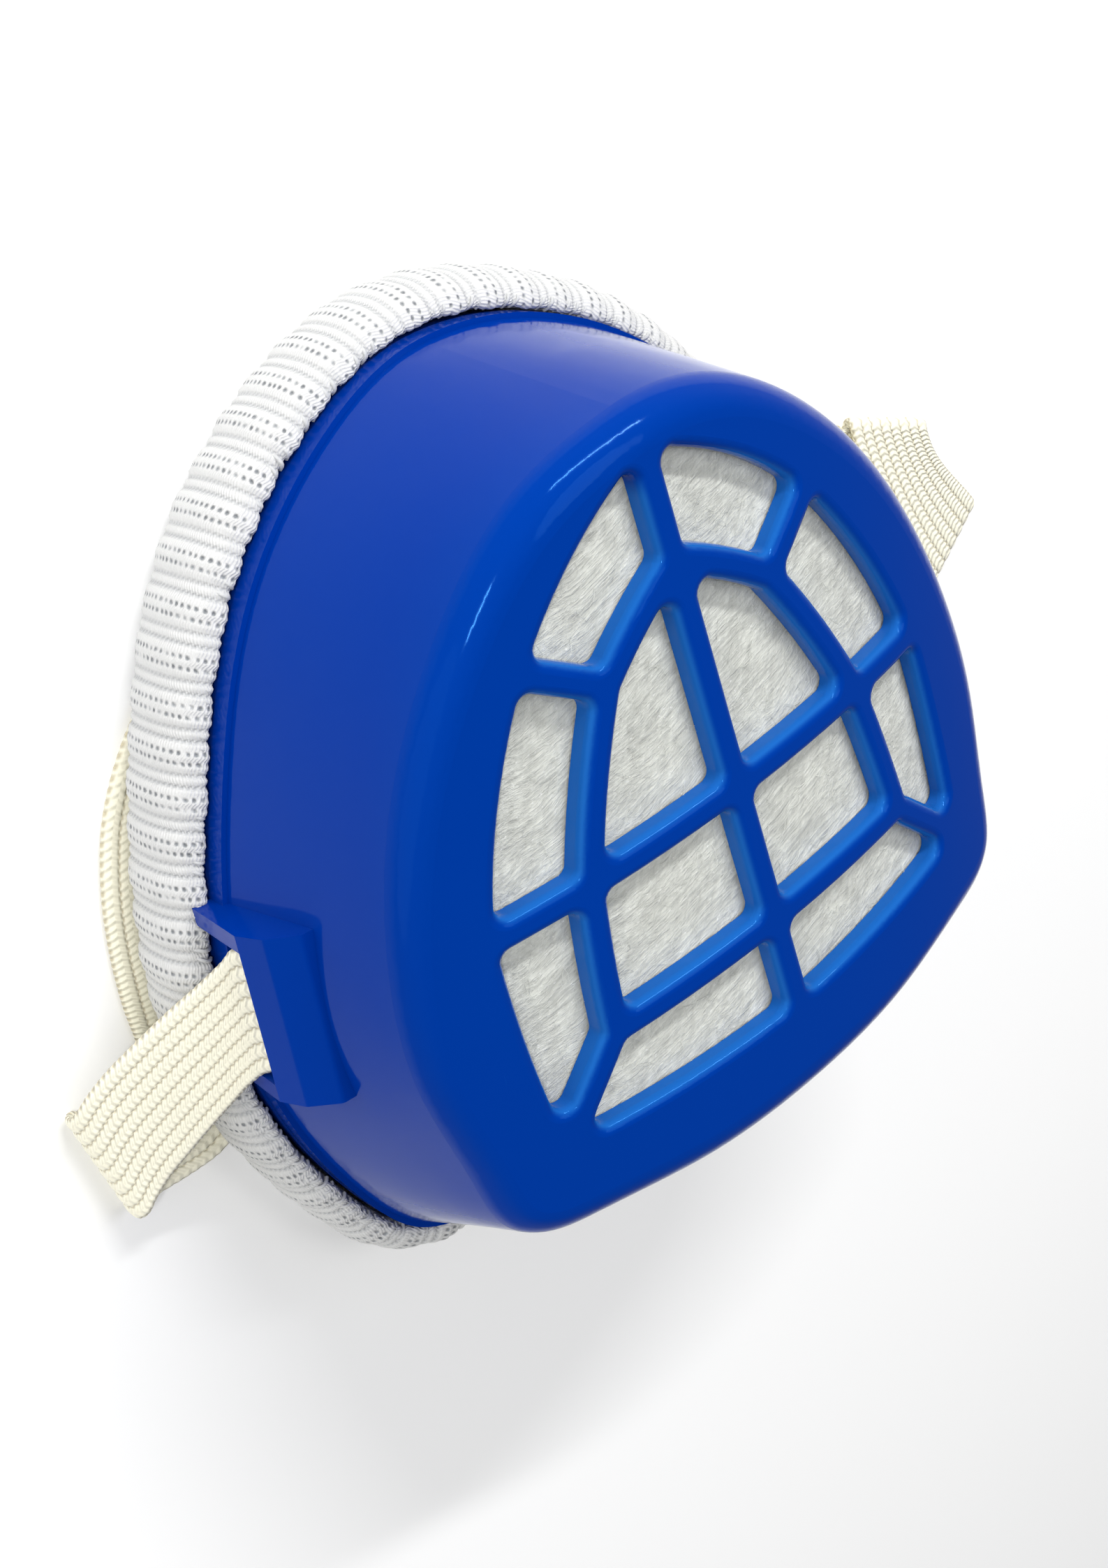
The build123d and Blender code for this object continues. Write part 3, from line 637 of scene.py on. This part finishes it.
def felt_fibre(name, tone, coarse, depth):
    """Matted fibres, drawn out along one slanting direction."""
    paint = Paint(name)
    drawn = paint.place((5.5, 1.0, 1.0), (0, 0, 0.22), kind="TEXTURE")
    slanted = paint.place((4.0, 1, 1), (0, 0, 1.1), kind="TEXTURE")
    bend = paint.noise(90.0, 1.0, output=1)
    shift = paint.add("ShaderNodeVectorMath", {0: bend, 3: 0.0022}, operation="SCALE")
    turned = paint.add("ShaderNodeVectorMath", {0: drawn, 1: shift}, operation="ADD")
    strands = paint.noise(coarse, 4.0, 0.7, at=turned)
    crossed = paint.noise(coarse * 0.7, 3.0, 0.6, at=slanted)
    clumps = paint.noise(coarse * 0.2, 3.0, 0.6)
    specks = paint.noise(coarse * 1.4, 2.0, 0.6).maths("SUBTRACT", 0.63).maths(
        "MULTIPLY", 7.0, clamp=True
    )
    share = (strands - 0.5) * 1.5 + (clumps - 0.5) * 0.9 + (crossed - 0.5) * 0.7 + 0.55
    pale = tuple(min(1.0, 1.16 * value) for value in tone)
    dim = tuple(0.6 * value for value in tone)
    fabric = paint.mix(share.maths("MULTIPLY", 1.0, clamp=True), dim, pale)
    fabric = paint.mix(specks * 0.5, fabric, (0.95, 0.95, 0.93))
    return paint.finish(
        fabric, 0.95, strands * 1.2 + clumps * 0.8 + crossed * 0.5, depth,
        Sheen_Weight=0.2, Sheen_Roughness=0.6,
    )


def frame_plastic(name):
    """Satin moulded plastic with a fine spark-eroded grain."""
    look = bpy.context.scene.respirator_filter
    paint = Paint(name)
    cloud = paint.noise(70.0, 2.0)
    grain = paint.noise(3200.0, 2.0)
    dim = tuple(0.84 * value for value in look.plastic)
    tone = paint.mix(cloud, tuple(look.plastic), dim)
    return paint.finish(tone, grain * 0.2 + 0.38, grain * 0.4 + cloud, 0.12)


def foam(name, tone):
    """Open-cell foam, or the cover of the elastic."""
    paint = Paint(name)
    cells = paint.add(
        "ShaderNodeTexVoronoi", {0: paint.place(), "Scale": 1500.0}, feature="F1"
    )
    dim = tuple(0.6 * value for value in tone)
    return paint.finish(paint.mix(cells, tuple(tone), dim), 0.95, cells, 0.3)


# ---- pieces ---------------------------------------------------------------------------------

# the knit's section, in millimetres out from the rim's outline and up from the table
KNIT_OUTSIDE = [
    (1.95, 11.2), (1.95, 13.2), (1.4, 14.4), (0.78, 14.9), (0.72, 15.6), (1.3, 16.1), (3.0, 15.5),
    (4.6, 13.2), (5.2, 11.0), (5.4, 8.0), (5.1, 5.0), (4.3, 2.5), (2.8, 0.8), (0.8, 0.12),
]
KNIT_INSIDE = [
    (-2.0, 0.08), (-4.0, 0.6), (-5.2, 2.2), (-5.6, 5.0), (-5.55, 9.0), (-5.4, 12.5), (-5.0, 14.3),
    (-4.35, 14.8), (-3.95, 14.3), (-3.95, 11.5), (-3.98, 6.0), (-3.8, 3.7), (-3.2, 3.28),
    (0.0, 3.22), (2.6, 3.28), (3.25, 3.8), (3.4, 6.0), (3.4, 10.0), (3.1, 10.95), (2.5, 11.1),
]

# steps along the section, outside and inside, and columns for one rib
OUTSIDE_STEP, INSIDE_STEP, RIB_COLUMNS = 0.36, 1.4, 14
# where in a rib each groove lies, and its share of the relief
GROOVES, GROOVE_WIDTH = ((0.12, 0.35), (0.37, 0.35), (0.62, 0.9), (0.87, 0.9)), 0.075
# the least height over the table, and the sole's height over the strap's middle run
TABLE_GAP, SOLE_LIFT = 0.02, 1.5
# out and up from the rim's outline: the binding on the knit's edge, the elastic in the hem
BINDING_AT, CORD_AT = (1.5, 15.6), (0.98, 12.9)
# the rim foam's U, open towards the shell
FOAM_SECTION = np.array([
    (3.0, 4.0), (2.6, 3.6), (-3.1, 3.6), (-3.5, 4.0), (-3.5, 10.2), (-3.1, 10.6),
    (-2.7, 10.6), (-2.35, 10.2), (-2.35, 7.9), (-2.2, 7.6), (0.3, 7.6), (0.42, 7.9),
    (0.42, 10.2), (0.7, 10.6), (2.6, 10.6), (3.0, 10.2),
])
# the webbing: distance between its rows, half its thickness, and how its edges wander
WEBBING_STEP, WEBBING_HALF, SCALLOP, WAVER = 0.42, 0.60, 0.16, 0.25
# the slot's direction as its run across and along, that run's length, half an end's length
SLOT_ACROSS, SLOT_ALONG, SLOT_LENGTH, END_HALF = 2.4, 17.4, 17.565, 9.5
# the felt that faces up, in square metres, and a loose fibre's radius as a share of its length
FELT_AREA, FIBRE_RADIUS = 0.0072, 0.011


def knit_section():
    """The knit's section as (out, up), the distance along it and where its outside ends."""
    loop = np.array(KNIT_OUTSIDE + KNIT_INSIDE + KNIT_OUTSIDE[:1], float)
    run = np.r_[0, np.cumsum(np.linalg.norm(np.diff(loop, axis=0), axis=1))]
    turn = run[len(KNIT_OUTSIDE) - 1]
    last = run[-1] - INSIDE_STEP / 2
    at = np.r_[np.arange(0, turn, OUTSIDE_STEP), np.arange(turn, last, INSIDE_STEP)]
    return eased(run, loop, at), at, turn


def swept(section, along_section, columns, ribs, move=None):
    """Points and pattern of a closed ring: the section carried round the rim, and moved."""
    middle, out, _ = rim(columns)
    verts = np.zeros((columns, len(section), 3))
    phase = np.arange(columns) / columns * ribs
    offset = np.repeat(section[None], columns, 0)
    if move is not None:
        offset = move(offset, phase, middle)
    verts[:, :, :2] = middle[:, None] + out[:, None] * offset[:, :, :1]
    verts[:, :, 2] = offset[:, :, 1]
    across = np.r_[phase, ribs]
    along = np.r_[along_section, along_section[-1] + 1.0]
    uv = np.stack(np.meshgrid(across, along, indexing="ij"), -1)
    return verts, uv


def make_knit_seal():
    """The ribbed knit round the rim, with its sole on the table and its lip at the shell."""
    look = bpy.context.scene.respirator_knit
    section, at, turn = knit_section()
    following = np.roll(section, -1, 0) - np.roll(section, 1, 0)
    following /= np.linalg.norm(following, axis=1)[:, None]
    normal = np.stack([-following[:, 1], following[:, 0]], 1)
    if normal[len(section) // 4] @ (1, 0) < 0:
        normal = -normal
    # full relief on the outside, fading at the lip and at the sole, and less on the inside
    outer = np.clip((at - 2.2) / 1.2, 0, 1) * np.clip((turn - at) / 3.0, 0, 1)
    inner_side = (section[:, 0] < -4.6).astype(float) * 0.6
    strength = np.maximum(outer, inner_side)

    def ribbed(offset, phase, middle):
        """The section with its ribs, its unevenness and its wavy lip."""
        p = phase % 1.0
        grooves = sum(
            depth * np.exp(-(((p - at_phase) / GROOVE_WIDTH) ** 2))
            for at_phase, depth in GROOVES
        )
        height = 0.14 * np.cos(2 * np.pi * (p - 0.25)) - grooves * look.rib_relief / MM
        slow = np.array([noise.noise(Vector((x * 0.05, y * 0.05, 0))) for x, y in middle])
        quick = np.array([noise.noise(Vector((x * 0.35, y * 0.35, 4))) for x, y in middle])
        lumps = slow * 0.45 + quick * 0.16
        lift = height[:, None] * strength[None] + lumps[:, None] * outer[None]
        moved = offset + lift[:, :, None] * normal[None]
        hem = np.clip((offset[:, :, 1] - 14.0) / 1.4, 0, 1) * np.clip(offset[:, :, 0] / 1.0, 0, 1)
        moved[:, :, 1] += hem * (quick * 0.25 + 0.16 * np.sin(8 * np.pi * p))[:, None]
        moved[:, :, 1] = np.maximum(moved[:, :, 1], TABLE_GAP)
        return moved

    verts, uv = swept(section, at, look.ribs * RIB_COLUMNS, look.ribs, ribbed)
    # over the strap's middle run the sole is pressed flat and lies higher
    footprint = [row[0] for row in UNDER_RUN] + [row[1] for row in reversed(UNDER_RUN)]
    flat = verts.reshape(-1, 3)
    over = inside(flat[:, :2] * 0.999, footprint) & (flat[:, 2] < 2 * SOLE_LIFT)
    flat[over, 2] = SOLE_LIFT + flat[over, 2] * 0.5
    piece = grid_piece("knit_seal_cover", verts, uv, True, True)
    dress(piece, knit_yarn())
    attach(piece, "mask")
    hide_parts("knit_seal")


def make_hem_stitches():
    """The thread bound round the knit's front edge."""
    look = bpy.context.scene.respirator_knit
    middle, out, _ = rim(720)
    line = np.c_[middle + out * BINDING_AT[0], np.full(len(middle), BINDING_AT[1])]
    line = np.vstack([line, line[:1]])
    aims = np.c_[np.vstack([out, out[:1]]), np.zeros(len(line))]
    piece = edge_stitches(
        "hem_binding", line, aims, look.hem_stitches, look.stitch_thread, MM,
        knit_yarn(pattern=False),
    )
    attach(piece, "mask")


def rounded(width, height, middle, count, power=3.0):
    """A rectangular section with soft corners, harder with a higher power."""
    t = np.linspace(0, 2 * np.pi, count, endpoint=False)
    c, s = np.cos(t), np.sin(t)
    size = (np.abs(c) ** power + np.abs(s) ** power) ** (-1 / power)
    return np.stack([middle[0] + c * size * width / 2, middle[1] + s * size * height / 2], 1)


def make_rim_padding():
    """The foam ring that grips the rim and the elastic under the hem."""
    run = np.arange(len(FOAM_SECTION)) * 1.5
    verts, uv = swept(FOAM_SECTION, run, 360, 360)
    pad = grid_piece("rim_foam", verts, uv, True, True)
    dress(pad, foam("rim_foam_cells", (0.72, 0.71, 0.66)))
    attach(pad, "mask")
    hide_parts("cushion_ring")

    def coiled(offset, phase, _):
        """The cord's section, swelling and thinning along it like a covered elastic."""
        swell = 1 + 0.05 * np.sin(phase * 2 * np.pi)
        centre = np.array(CORD_AT)
        return centre + (offset - centre) * swell[:, None, None]

    section = rounded(1.2, 2.8, CORD_AT, 14)
    verts, uv = swept(section, np.arange(len(section)) * 0.5, 960, 320, coiled)
    band = grid_piece("hem_cord", verts, uv, True, True)
    dress(band, foam("elastic_cover", (0.78, 0.77, 0.72)))
    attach(band, "mask")
    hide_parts("hem_elastic")


def make_head_strap():
    """The one webbing, from louvre to louvre, along the crossings listed at the top."""
    look = bpy.context.scene.respirator_strap
    rows = np.array(strap_rows(), float)
    middle = rows.mean(1)
    run = np.r_[0, np.cumsum(np.linalg.norm(np.diff(middle, axis=0), axis=1))]
    at = np.linspace(0, run[-1], int(run[-1] / WEBBING_STEP))
    lead, trail = eased(run, rows[:, 0], at), eased(run, rows[:, 1], at)
    centre = (lead + trail) / 2
    across = trail - lead
    width = np.linalg.norm(across, axis=1)[:, None]
    across /= width
    ahead = np.gradient(centre, at, axis=0)
    up = np.cross(ahead, across)
    up /= np.linalg.norm(up, axis=1)[:, None]
    steps = look.ridges * 6 + 1
    c = np.linspace(-1, 1, steps)
    ridge = np.abs(np.sin(np.pi * look.ridges * (c + 1) / 2)) ** 0.8
    selvedge = np.clip((1 - np.abs(c)) / 0.06, 0, 1) ** 0.5
    half = (WEBBING_HALF + (ridge - 1) * look.ridge_relief / MM) * (0.45 + 0.55 * selvedge)
    section_c = np.r_[c, c[::-1]]
    section_h = np.r_[half, -half[::-1]]
    stitch = look.stitch_pitch / MM
    scallop = np.abs(np.sin(np.pi * at / stitch))[:, None] * SCALLOP
    waver = np.array([noise.noise(Vector((s * 0.06, 0, 2))) for s in at])[:, None] * WAVER
    edge = np.sign(section_c)[None] * scallop * (np.abs(section_c) > 0.97)[None]
    reach = section_c[None] * (width / 2) + edge + waver
    verts = centre[:, None] + reach[:, :, None] * across[:, None] + (
        section_h[None, :, None] * up[:, None]
    )
    verts[:, :, 2] = np.maximum(verts[:, :, 2], TABLE_GAP)
    u = np.r_[(c + 1) / 2 * look.ridges, (c[::-1] + 1) / 2 * look.ridges, 0]
    uv = np.stack([np.repeat(u[None], len(at), 0), np.repeat(at[:, None], len(u), 1)], -1)
    piece = grid_piece("head_strap", verts, uv, False, True, caps=True)
    dress(piece, strap_webbing())
    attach(piece, "mask")
    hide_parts("strap_left_run", "strap_under_run", "strap_right_run")


def make_strap_stops():
    """The rolled and stitched ends of the strap, inside the shell."""
    look = bpy.context.scene.respirator_strap
    webbing, thread = strap_webbing(), knit_yarn(pattern=False)
    for side, name in ((1, "right"), (-1, "left")):
        low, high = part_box("strap_stop_" + name)
        centre = np.array((low + high) / 2) / MM
        along = np.array((-side * SLOT_ACROSS, SLOT_ALONG, 0)) / SLOT_LENGTH
        inwards = np.array((-side * SLOT_ALONG, -SLOT_ACROSS, 0)) / SLOT_LENGTH
        t = np.linspace(-1, 1, 97)
        ridge = np.abs(np.sin(np.pi * look.ridges * (t + 1) / 2)) ** 0.6
        ends = np.clip((1 - np.abs(t)) / 0.05, 0.02, 1) ** 0.5
        section = rounded(1.75, 4.3, (0, 0), 24, 2.6)
        size = (0.88 + 0.12 * ridge) * ends
        verts = (
            centre + along * (t * END_HALF)[:, None, None]
            + section[None, :, :1] * size[:, None, None] * inwards
            + section[None, :, 1:] * size[:, None, None] * np.array((0, 0, 1))
        )
        u = (t + 1) / 2 * look.ridges
        uv = np.stack(np.meshgrid(u, np.arange(25) * 0.45, indexing="ij"), -1)
        piece = grid_piece("strap_end_" + name, verts, uv, False, True, caps=True)
        dress(piece, webbing)
        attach(piece, "mask")
        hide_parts("strap_stop_" + name)
        line = [centre + along * s + inwards * 0.62 for s in (-8.2, -4, 0, 4, 8.2)]
        tack = edge_stitches(
            "bar_tack_" + name, line, [inwards] * 5, 22, 0.34 * MM, 0.55 * MM, thread
        )
        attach(tack, "mask")


def make_pad(node, name, voxel, tone_name, tone, coarse, swell):
    """A felt pad: the CAD pad remeshed, its faces softly uneven and its edge rounded."""
    pad = tidied_copy(node, name)
    remesh = pad.modifiers.new("remesh", "REMESH")
    remesh.mode, remesh.voxel_size = "VOXEL", voxel * MM
    smooth = pad.modifiers.new("soften", "SMOOTH")
    smooth.factor, smooth.iterations = 0.5, 3
    applied(pad)
    mesh = pad.data
    co = np.empty(len(mesh.vertices) * 3, np.float32)
    mesh.vertices.foreach_get("co", co)
    co = co.reshape(-1, 3)
    nor = np.array([v.normal for v in mesh.vertices])
    lumps = np.array([
        noise.noise(Vector(p) * 220) * 0.6 + noise.noise(Vector(p) * 700) * 0.4 for p in co
    ])
    co += (nor * lumps[:, None] * swell * MM).astype(np.float32)
    mesh.vertices.foreach_set("co", co.ravel())
    mesh.update()
    mesh.polygons.foreach_set("use_smooth", [True] * len(mesh.polygons))
    dress(pad, felt_fibre(tone_name, tone, coarse, 0.35))
    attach(pad, "filter_pack")
    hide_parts(node)
    return pad


def make_felts():
    """The two pads and the loose fibres on the front one."""
    look = bpy.context.scene.respirator_filter
    front = make_pad(
        "prefilter_felt", "front_felt", 0.8, "front_felt_fibre", tuple(look.felt), 1500.0, 0.24
    )
    make_pad("fine_filter", "fine_pad", 1.0, "fine_pad_fibre", tuple(look.fine), 2600.0, 0.14)
    fibre = felt_fibre("loose_fibre", tuple(min(1, 1.15 * v) for v in look.felt), 900.0, 0.05)
    growth = Growth(
        "felt_fuzz", Count=float(look.fibres), Length=look.fibre_length, Seed=11, Material=fibre
    )
    normal = growth.add("GeometryNodeInputNormal")
    parts = growth.add("ShaderNodeSeparateXYZ", {0: normal})
    upward = growth.add(
        "FunctionNodeCompare", {0: parts.outputs[2], 1: 0.7}, data_type="FLOAT",
        operation="GREATER_THAN",
    )
    density = growth.add(
        "ShaderNodeMath", {0: growth.size("Count"), 1: FELT_AREA}, operation="DIVIDE"
    )
    spread = growth.add(
        "GeometryNodeDistributePointsOnFaces",
        {"Mesh": growth.start, "Selection": upward, "Density": density,
         "Seed": growth.size("Seed")},
    )
    strand = growth.add(
        "GeometryNodeCurveQuadraticBezier",
        {"Resolution": 5, "Start": (-0.5, 0.0, -0.02), "Middle": (0.0, 0.28, 0.26),
         "End": (0.5, 0.05, 0.0)},
    )
    edge = growth.add(
        "GeometryNodeCurvePrimitiveCircle", {"Resolution": 3, "Radius": FIBRE_RADIUS}
    )
    tube = growth.add(
        "GeometryNodeCurveToMesh",
        {"Curve": strand, "Profile Curve": edge.outputs["Curve"], "Fill Caps": True},
    )
    turn = growth.add(
        "FunctionNodeRandomValue",
        {"Min": (-0.25, -0.25, 0.0), "Max": (0.25, 0.25, 6.28), "Seed": growth.size("Seed")},
        data_type="FLOAT_VECTOR",
    )
    size = growth.add(
        "FunctionNodeRandomValue", {2: 0.45, 3: 1.15, "Seed": growth.size("Seed")},
        data_type="FLOAT",
    )
    scale = growth.add(
        "ShaderNodeMath", {0: size.outputs[1], 1: growth.size("Length")}, operation="MULTIPLY"
    )
    placed = growth.add(
        "GeometryNodeInstanceOnPoints",
        {"Points": spread.outputs[0], "Instance": tube, "Rotation": turn.outputs[0],
         "Scale": scale},
    )
    growth.close(placed)
    fuzz = growth.grow("felt_fuzz", front.data.copy())
    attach(fuzz, "filter_pack")


def finish_plastics():
    """Materials for the CAD pieces that stay as they are."""
    dress(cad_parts["shell"], shell_plastic())
    dress(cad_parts["filter_support"], frame_plastic("support_plastic"))
    dress(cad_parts["filter_retainer"], frame_plastic("retainer_plastic"))


# ---- stage ----------------------------------------------------------------------------------


# name, place, aim, width and height in metres (a disc without a height), share of the key
LIGHTS = [
    ("key", (0.22, 0.22, 0.80), (0, 0, 0.02), 0.45, None, 0.70),
    ("fill", (-0.75, 0.15, 0.35), (0, 0, 0.02), 0.7, None, 0.45),
    ("window_upper", (0.20, 0.55, 0.45), (0, 0, 0.05), 0.4, 0.026, 1.25),
    ("window_lower", (-0.39, 0.34, 0.58), (0, 0, 0.05), 0.14, 0.028, 0.55),
]
SENSOR, FLOOR_HALF = 36.0, 3.0
# the way to the darker part of the surroundings, its soft edge and how dark it is
DARK_SIDE, DARK_EDGE, DARK_SHARE = (0.42, -0.52, 0.74), (0.25, 0.92), 0.22


def soft_light(name, place, aim, width, height, power):
    """An area light at a place, turned towards its aim."""
    data = bpy.data.lights.new(name, "AREA")
    data.shape = "RECTANGLE" if height else "DISK"
    data.size, data.size_y, data.energy = width, height or width, power
    lamp = linked(name, data)
    lamp.location = place
    lamp.rotation_mode = "QUATERNION"
    lamp.rotation_quaternion = (Vector(aim) - Vector(place)).to_track_quat("-Z", "Y")


def make_stage():
    """The camera, the floor, the surroundings and the lights."""
    look = bpy.context.scene.respirator_stage
    scene = bpy.context.scene
    data = bpy.data.cameras.new("view")
    data.sensor_width, data.lens = SENSOR, SENSOR * 3000 / 2245
    data.clip_start, data.clip_end = 0.01, 20
    camera = linked("view", data)
    camera.matrix_world = Matrix((
        (0.7259, 0.516, -0.4547, -0.1311), (-0.2755, 0.824, 0.4952, 0.1317),
        (0.6302, -0.2342, 0.7403, 0.2277), (0, 0, 0, 1),
    ))
    scene.camera = camera

    work = bmesh.new()
    bmesh.ops.create_grid(work, x_segments=1, y_segments=1, size=FLOOR_HALF)
    mesh = bpy.data.meshes.new("floor")
    work.to_mesh(mesh)
    work.free()
    floor = linked("floor", mesh)
    paint = Paint("floor_paper")
    dim = tuple(0.95 * value for value in look.floor)
    tone = paint.mix(paint.noise(400.0, 2.0) * 0.08, tuple(look.floor), dim)
    dress(floor, paint.finish(
        tone, 0.9, Emission_Color=(1.0, 1.0, 1.0), Emission_Strength=0.06
    ))

    sky = Paint("studio", "worlds")
    scene.world = sky.owner
    towards = sky.add(
        "ShaderNodeVectorMath",
        {0: sky.add("ShaderNodeTexCoord"), 1: Vector(DARK_SIDE).normalized()},
        output=1, operation="DOT_PRODUCT",
    )
    strength = towards.ramp(*DARK_EDGE, look.daylight, look.daylight * DARK_SHARE)
    white = sky.add("ShaderNodeBackground", {"Color": (1, 1, 1), "Strength": strength})
    sky.add("ShaderNodeOutputWorld", {"Surface": white})
    for name, place, aim, width, height, share in LIGHTS:
        soft_light(name, place, aim, width, height, look.key * share)
    scene.view_settings.view_transform = "Standard"


# ---- operators ------------------------------------------------------------------------------


class RESPIRATOR_OT_stage(bpy.types.Operator):
    """Make the floor, the lights and the camera"""

    bl_idname = "respirator.stage"
    bl_label = "Stage"

    def execute(self, context):
        make_stage()
        return {"FINISHED"}


class RESPIRATOR_OT_plastics(bpy.types.Operator):
    """Finish the shell and the filter frames"""

    bl_idname = "respirator.plastics"
    bl_label = "Plastics"

    def execute(self, context):
        finish_plastics()
        return {"FINISHED"}


class RESPIRATOR_OT_knit_seal(bpy.types.Operator):
    """Knit the seal's ribbed cover"""

    bl_idname = "respirator.knit_seal"
    bl_label = "Knit seal"

    def execute(self, context):
        make_knit_seal()
        return {"FINISHED"}


class RESPIRATOR_OT_hem_stitches(bpy.types.Operator):
    """Bind the knit's front edge"""

    bl_idname = "respirator.hem_stitches"
    bl_label = "Hem stitches"

    def execute(self, context):
        make_hem_stitches()
        return {"FINISHED"}


class RESPIRATOR_OT_rim_padding(bpy.types.Operator):
    """Make the rim's foam and the elastic"""

    bl_idname = "respirator.rim_padding"
    bl_label = "Rim padding"

    def execute(self, context):
        make_rim_padding()
        return {"FINISHED"}


class RESPIRATOR_OT_head_strap(bpy.types.Operator):
    """Weave the elastic head strap"""

    bl_idname = "respirator.head_strap"
    bl_label = "Head strap"

    def execute(self, context):
        make_head_strap()
        return {"FINISHED"}


class RESPIRATOR_OT_strap_ends(bpy.types.Operator):
    """Roll and tack the strap's ends"""

    bl_idname = "respirator.strap_ends"
    bl_label = "Strap ends"

    def execute(self, context):
        make_strap_stops()
        return {"FINISHED"}


class RESPIRATOR_OT_felts(bpy.types.Operator):
    """Make the filter pads and their loose fibres"""

    bl_idname = "respirator.felts"
    bl_label = "Felts"

    def execute(self, context):
        make_felts()
        return {"FINISHED"}


STEPS = [
    RESPIRATOR_OT_stage,
    RESPIRATOR_OT_plastics,
    RESPIRATOR_OT_knit_seal,
    RESPIRATOR_OT_hem_stitches,
    RESPIRATOR_OT_rim_padding,
    RESPIRATOR_OT_head_strap,
    RESPIRATOR_OT_strap_ends,
    RESPIRATOR_OT_felts,
]


class RESPIRATOR_PT_panel(bpy.types.Panel):
    """The respirator's sizes, colours and steps"""

    bl_label = "Respirator"
    bl_idname = "RESPIRATOR_PT_panel"
    bl_space_type = "VIEW_3D"
    bl_region_type = "UI"
    bl_category = "Respirator"

    def draw(self, context):
        for operator in STEPS:
            self.layout.operator(operator.bl_idname)
        for name, group in GROUPS.items():
            box = self.layout.box()
            for key in group.__annotations__:
                box.prop(getattr(context.scene, name), key)


GROUPS = {
    "respirator_shell": ShellSettings, "respirator_knit": KnitSettings,
    "respirator_strap": StrapSettings, "respirator_filter": FilterSettings,
    "respirator_stage": StageSettings,
}


def register():
    for name, group in GROUPS.items():
        bpy.utils.register_class(group)
        setattr(bpy.types.Scene, name, PointerProperty(type=group))
    for operator in STEPS:
        bpy.utils.register_class(operator)
    bpy.utils.register_class(RESPIRATOR_PT_panel)


def unregister():
    bpy.utils.unregister_class(RESPIRATOR_PT_panel)
    for operator in reversed(STEPS):
        bpy.utils.unregister_class(operator)
    for name, group in reversed(GROUPS.items()):
        delattr(bpy.types.Scene, name)
        bpy.utils.unregister_class(group)


def main():
    """Registers the add-on, then runs every step in turn."""
    register()
    for operator in STEPS:
        getattr(bpy.ops.respirator, operator.bl_idname.split(".")[1])()


if __name__ == "__main__":
    main()
